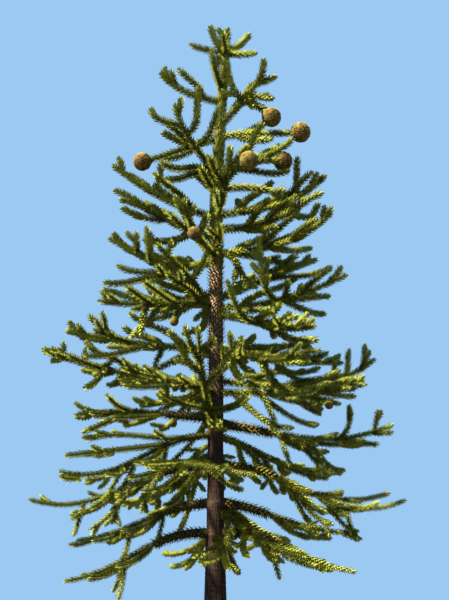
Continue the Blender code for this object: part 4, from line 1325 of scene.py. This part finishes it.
def clothe_branch(leaves, tubes, name, branch):
    """Leaves and stems of one branch, greener and brighter outward: partly younger leaves, partly
    painted shade inward.
    """
    draw = random.Random(f"{SEED} {name} leaves")
    axis = branch["axis"]
    stem = axis[round(branch["bare"] * (len(axis) - 1)):]
    thin = slimness(stem)
    limbs = [(stem, AXIS_LOOK, ((1 + thin) / 2, thin), (ramp(axis[0][2], INNER_TONES), FRESH))]
    for kind, look, tones, (at_root, at_tip) in (
            ("shoots", SIDE_LOOK, SIDE_TONES, SIDE_TONE_ENDS),
            ("fingers", FINGER_LOOK, FINGER_TONES, FINGER_TONE_ENDS)):
        for path in branch[kind]:
            tone = draw.uniform(*tones)
            limbs.append((path, look, (slimness(path),) * 2, (tone + at_root, tone + at_tip)))
    for path, look, slim, tones in limbs:
        clothe(leaves, path, look, tones, draw, slim)
        tubes.append(stem_tube(path, np.multiply(look.stem, slim)))


def clothe_bough(leaves, path, draw):
    """Old leaves, many of them dead, that still stand on the low branches' inner wood."""
    clothe(leaves, path[OUT_OF_TRUNK:], BOUGH_LOOK, (DEAD, OLIVE), draw, growing=False)


def clothe_trunk(leaves):
    """Green leaves round the trunk's top, and the stubs of dead ones further down."""
    draw = random.Random(f"{SEED} trunk leaves")
    for low, high, look, tones in (
            (GREEN_FROM, TRUNK_TOP, TRUNK_LOOK, (MID + 0.5, FRESH)),
            (STUBS_FROM, STUBS_TO, STUB_LOOK, (DEAD, OLIVE))):
        path = np.array([trunk_centre(h) for h in np.arange(low, high, PATH_STEP)])
        clothe(leaves, path, look, tones, draw, growing=False)


def make_tree():
    """The whole tree, in one piece for each colour of leaf and for each other material."""
    branches, room = grow()
    grow_finer(branches, room)
    foliage = sorted(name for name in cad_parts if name.startswith("foliage_"))
    leaves, tubes = {name: [] for name, _ in LEAF_COLOURS}, []
    clothe_trunk(leaves)
    boughs, bough_nodes = [], []
    for name, branch in branches.items():
        clothe_branch(leaves, tubes, name, branch)
        if branch["bare"]:
            draw = random.Random(f"{SEED} {name} bough")
            bough, path = make_bough_mesh(branch["axis"], branch["bare"], draw)
            boughs.append(bough)
            bough_nodes.append(f"bough_{name}")
            clothe_bough(leaves, path, draw)
    materials = {name: leaf_material(name, colour) for name, colour in LEAF_COLOURS}
    leaf_pieces(leaves, materials, foliage)
    stem = mottled("Stems", STEM_NOISE, STEM_STOPS, STEM_SKIN)
    dress(joined("stems", tubes), stem, foliage, smooth=True)
    wood = mottled("Bough bark", BOUGH_NOISE, BOUGH_STOPS, BOUGH_SKIN)
    dress(joined("bough_bark", boughs), wood, bough_nodes, smooth=True)
    dress(make_trunk_mesh(), trunk_material(), ["trunk"], smooth=True)
    make_cones(branches, cone_material())


# Stage, light and camera


def make_stage():
    """A floor that no view's edge reaches."""
    corners = np.array([(x, y, 0) for x, y in ((-1, -1), (1, -1), (1, 1), (-1, 1))]) * FLOOR_REACH
    floor = mesh_object("floor", corners, np.array([(0, 1, 2, 3)]))
    floor.data.materials.append(floor_material())


def make_light():
    """A high key from the left and a little in front, and a pale sky all round."""
    world = bpy.data.worlds.new("Studio")
    world.use_nodes = True
    background = world.node_tree.nodes["Background"]
    background.inputs["Color"].default_value = (*SKY, 1.0)
    background.inputs["Strength"].default_value = 1.0
    bpy.context.scene.world = world
    key = bpy.data.lights.new("Key", "SUN")
    key.energy = KEY_ENERGY
    key.angle = math.radians(KEY_ANGLE)
    key.color = KEY_COLOUR
    lamp = new_object("Key", key)
    lamp.rotation_euler = mathutils.Vector(KEY_FROM).to_track_quat("Z", "Y").to_euler()
    view = bpy.context.scene.view_settings
    view.view_transform = "Standard"
    view.gamma = VIEW_GAMMA


def make_camera():
    """The photograph's viewpoint: at eye height, looking up."""
    camera = bpy.data.cameras.new("Camera")
    camera.sensor_fit = "VERTICAL"
    camera.sensor_height = SENSOR_HEIGHT
    camera.lens = LENS
    camera.clip_end = CLIP_END
    holder = new_object("Camera", camera)
    holder.location = CAMERA_PLACE
    holder.rotation_euler = (math.radians(90 + CAMERA_PITCH), 0, 0)
    bpy.context.scene.camera = holder


make_tree()
make_stage()
make_light()
make_camera()
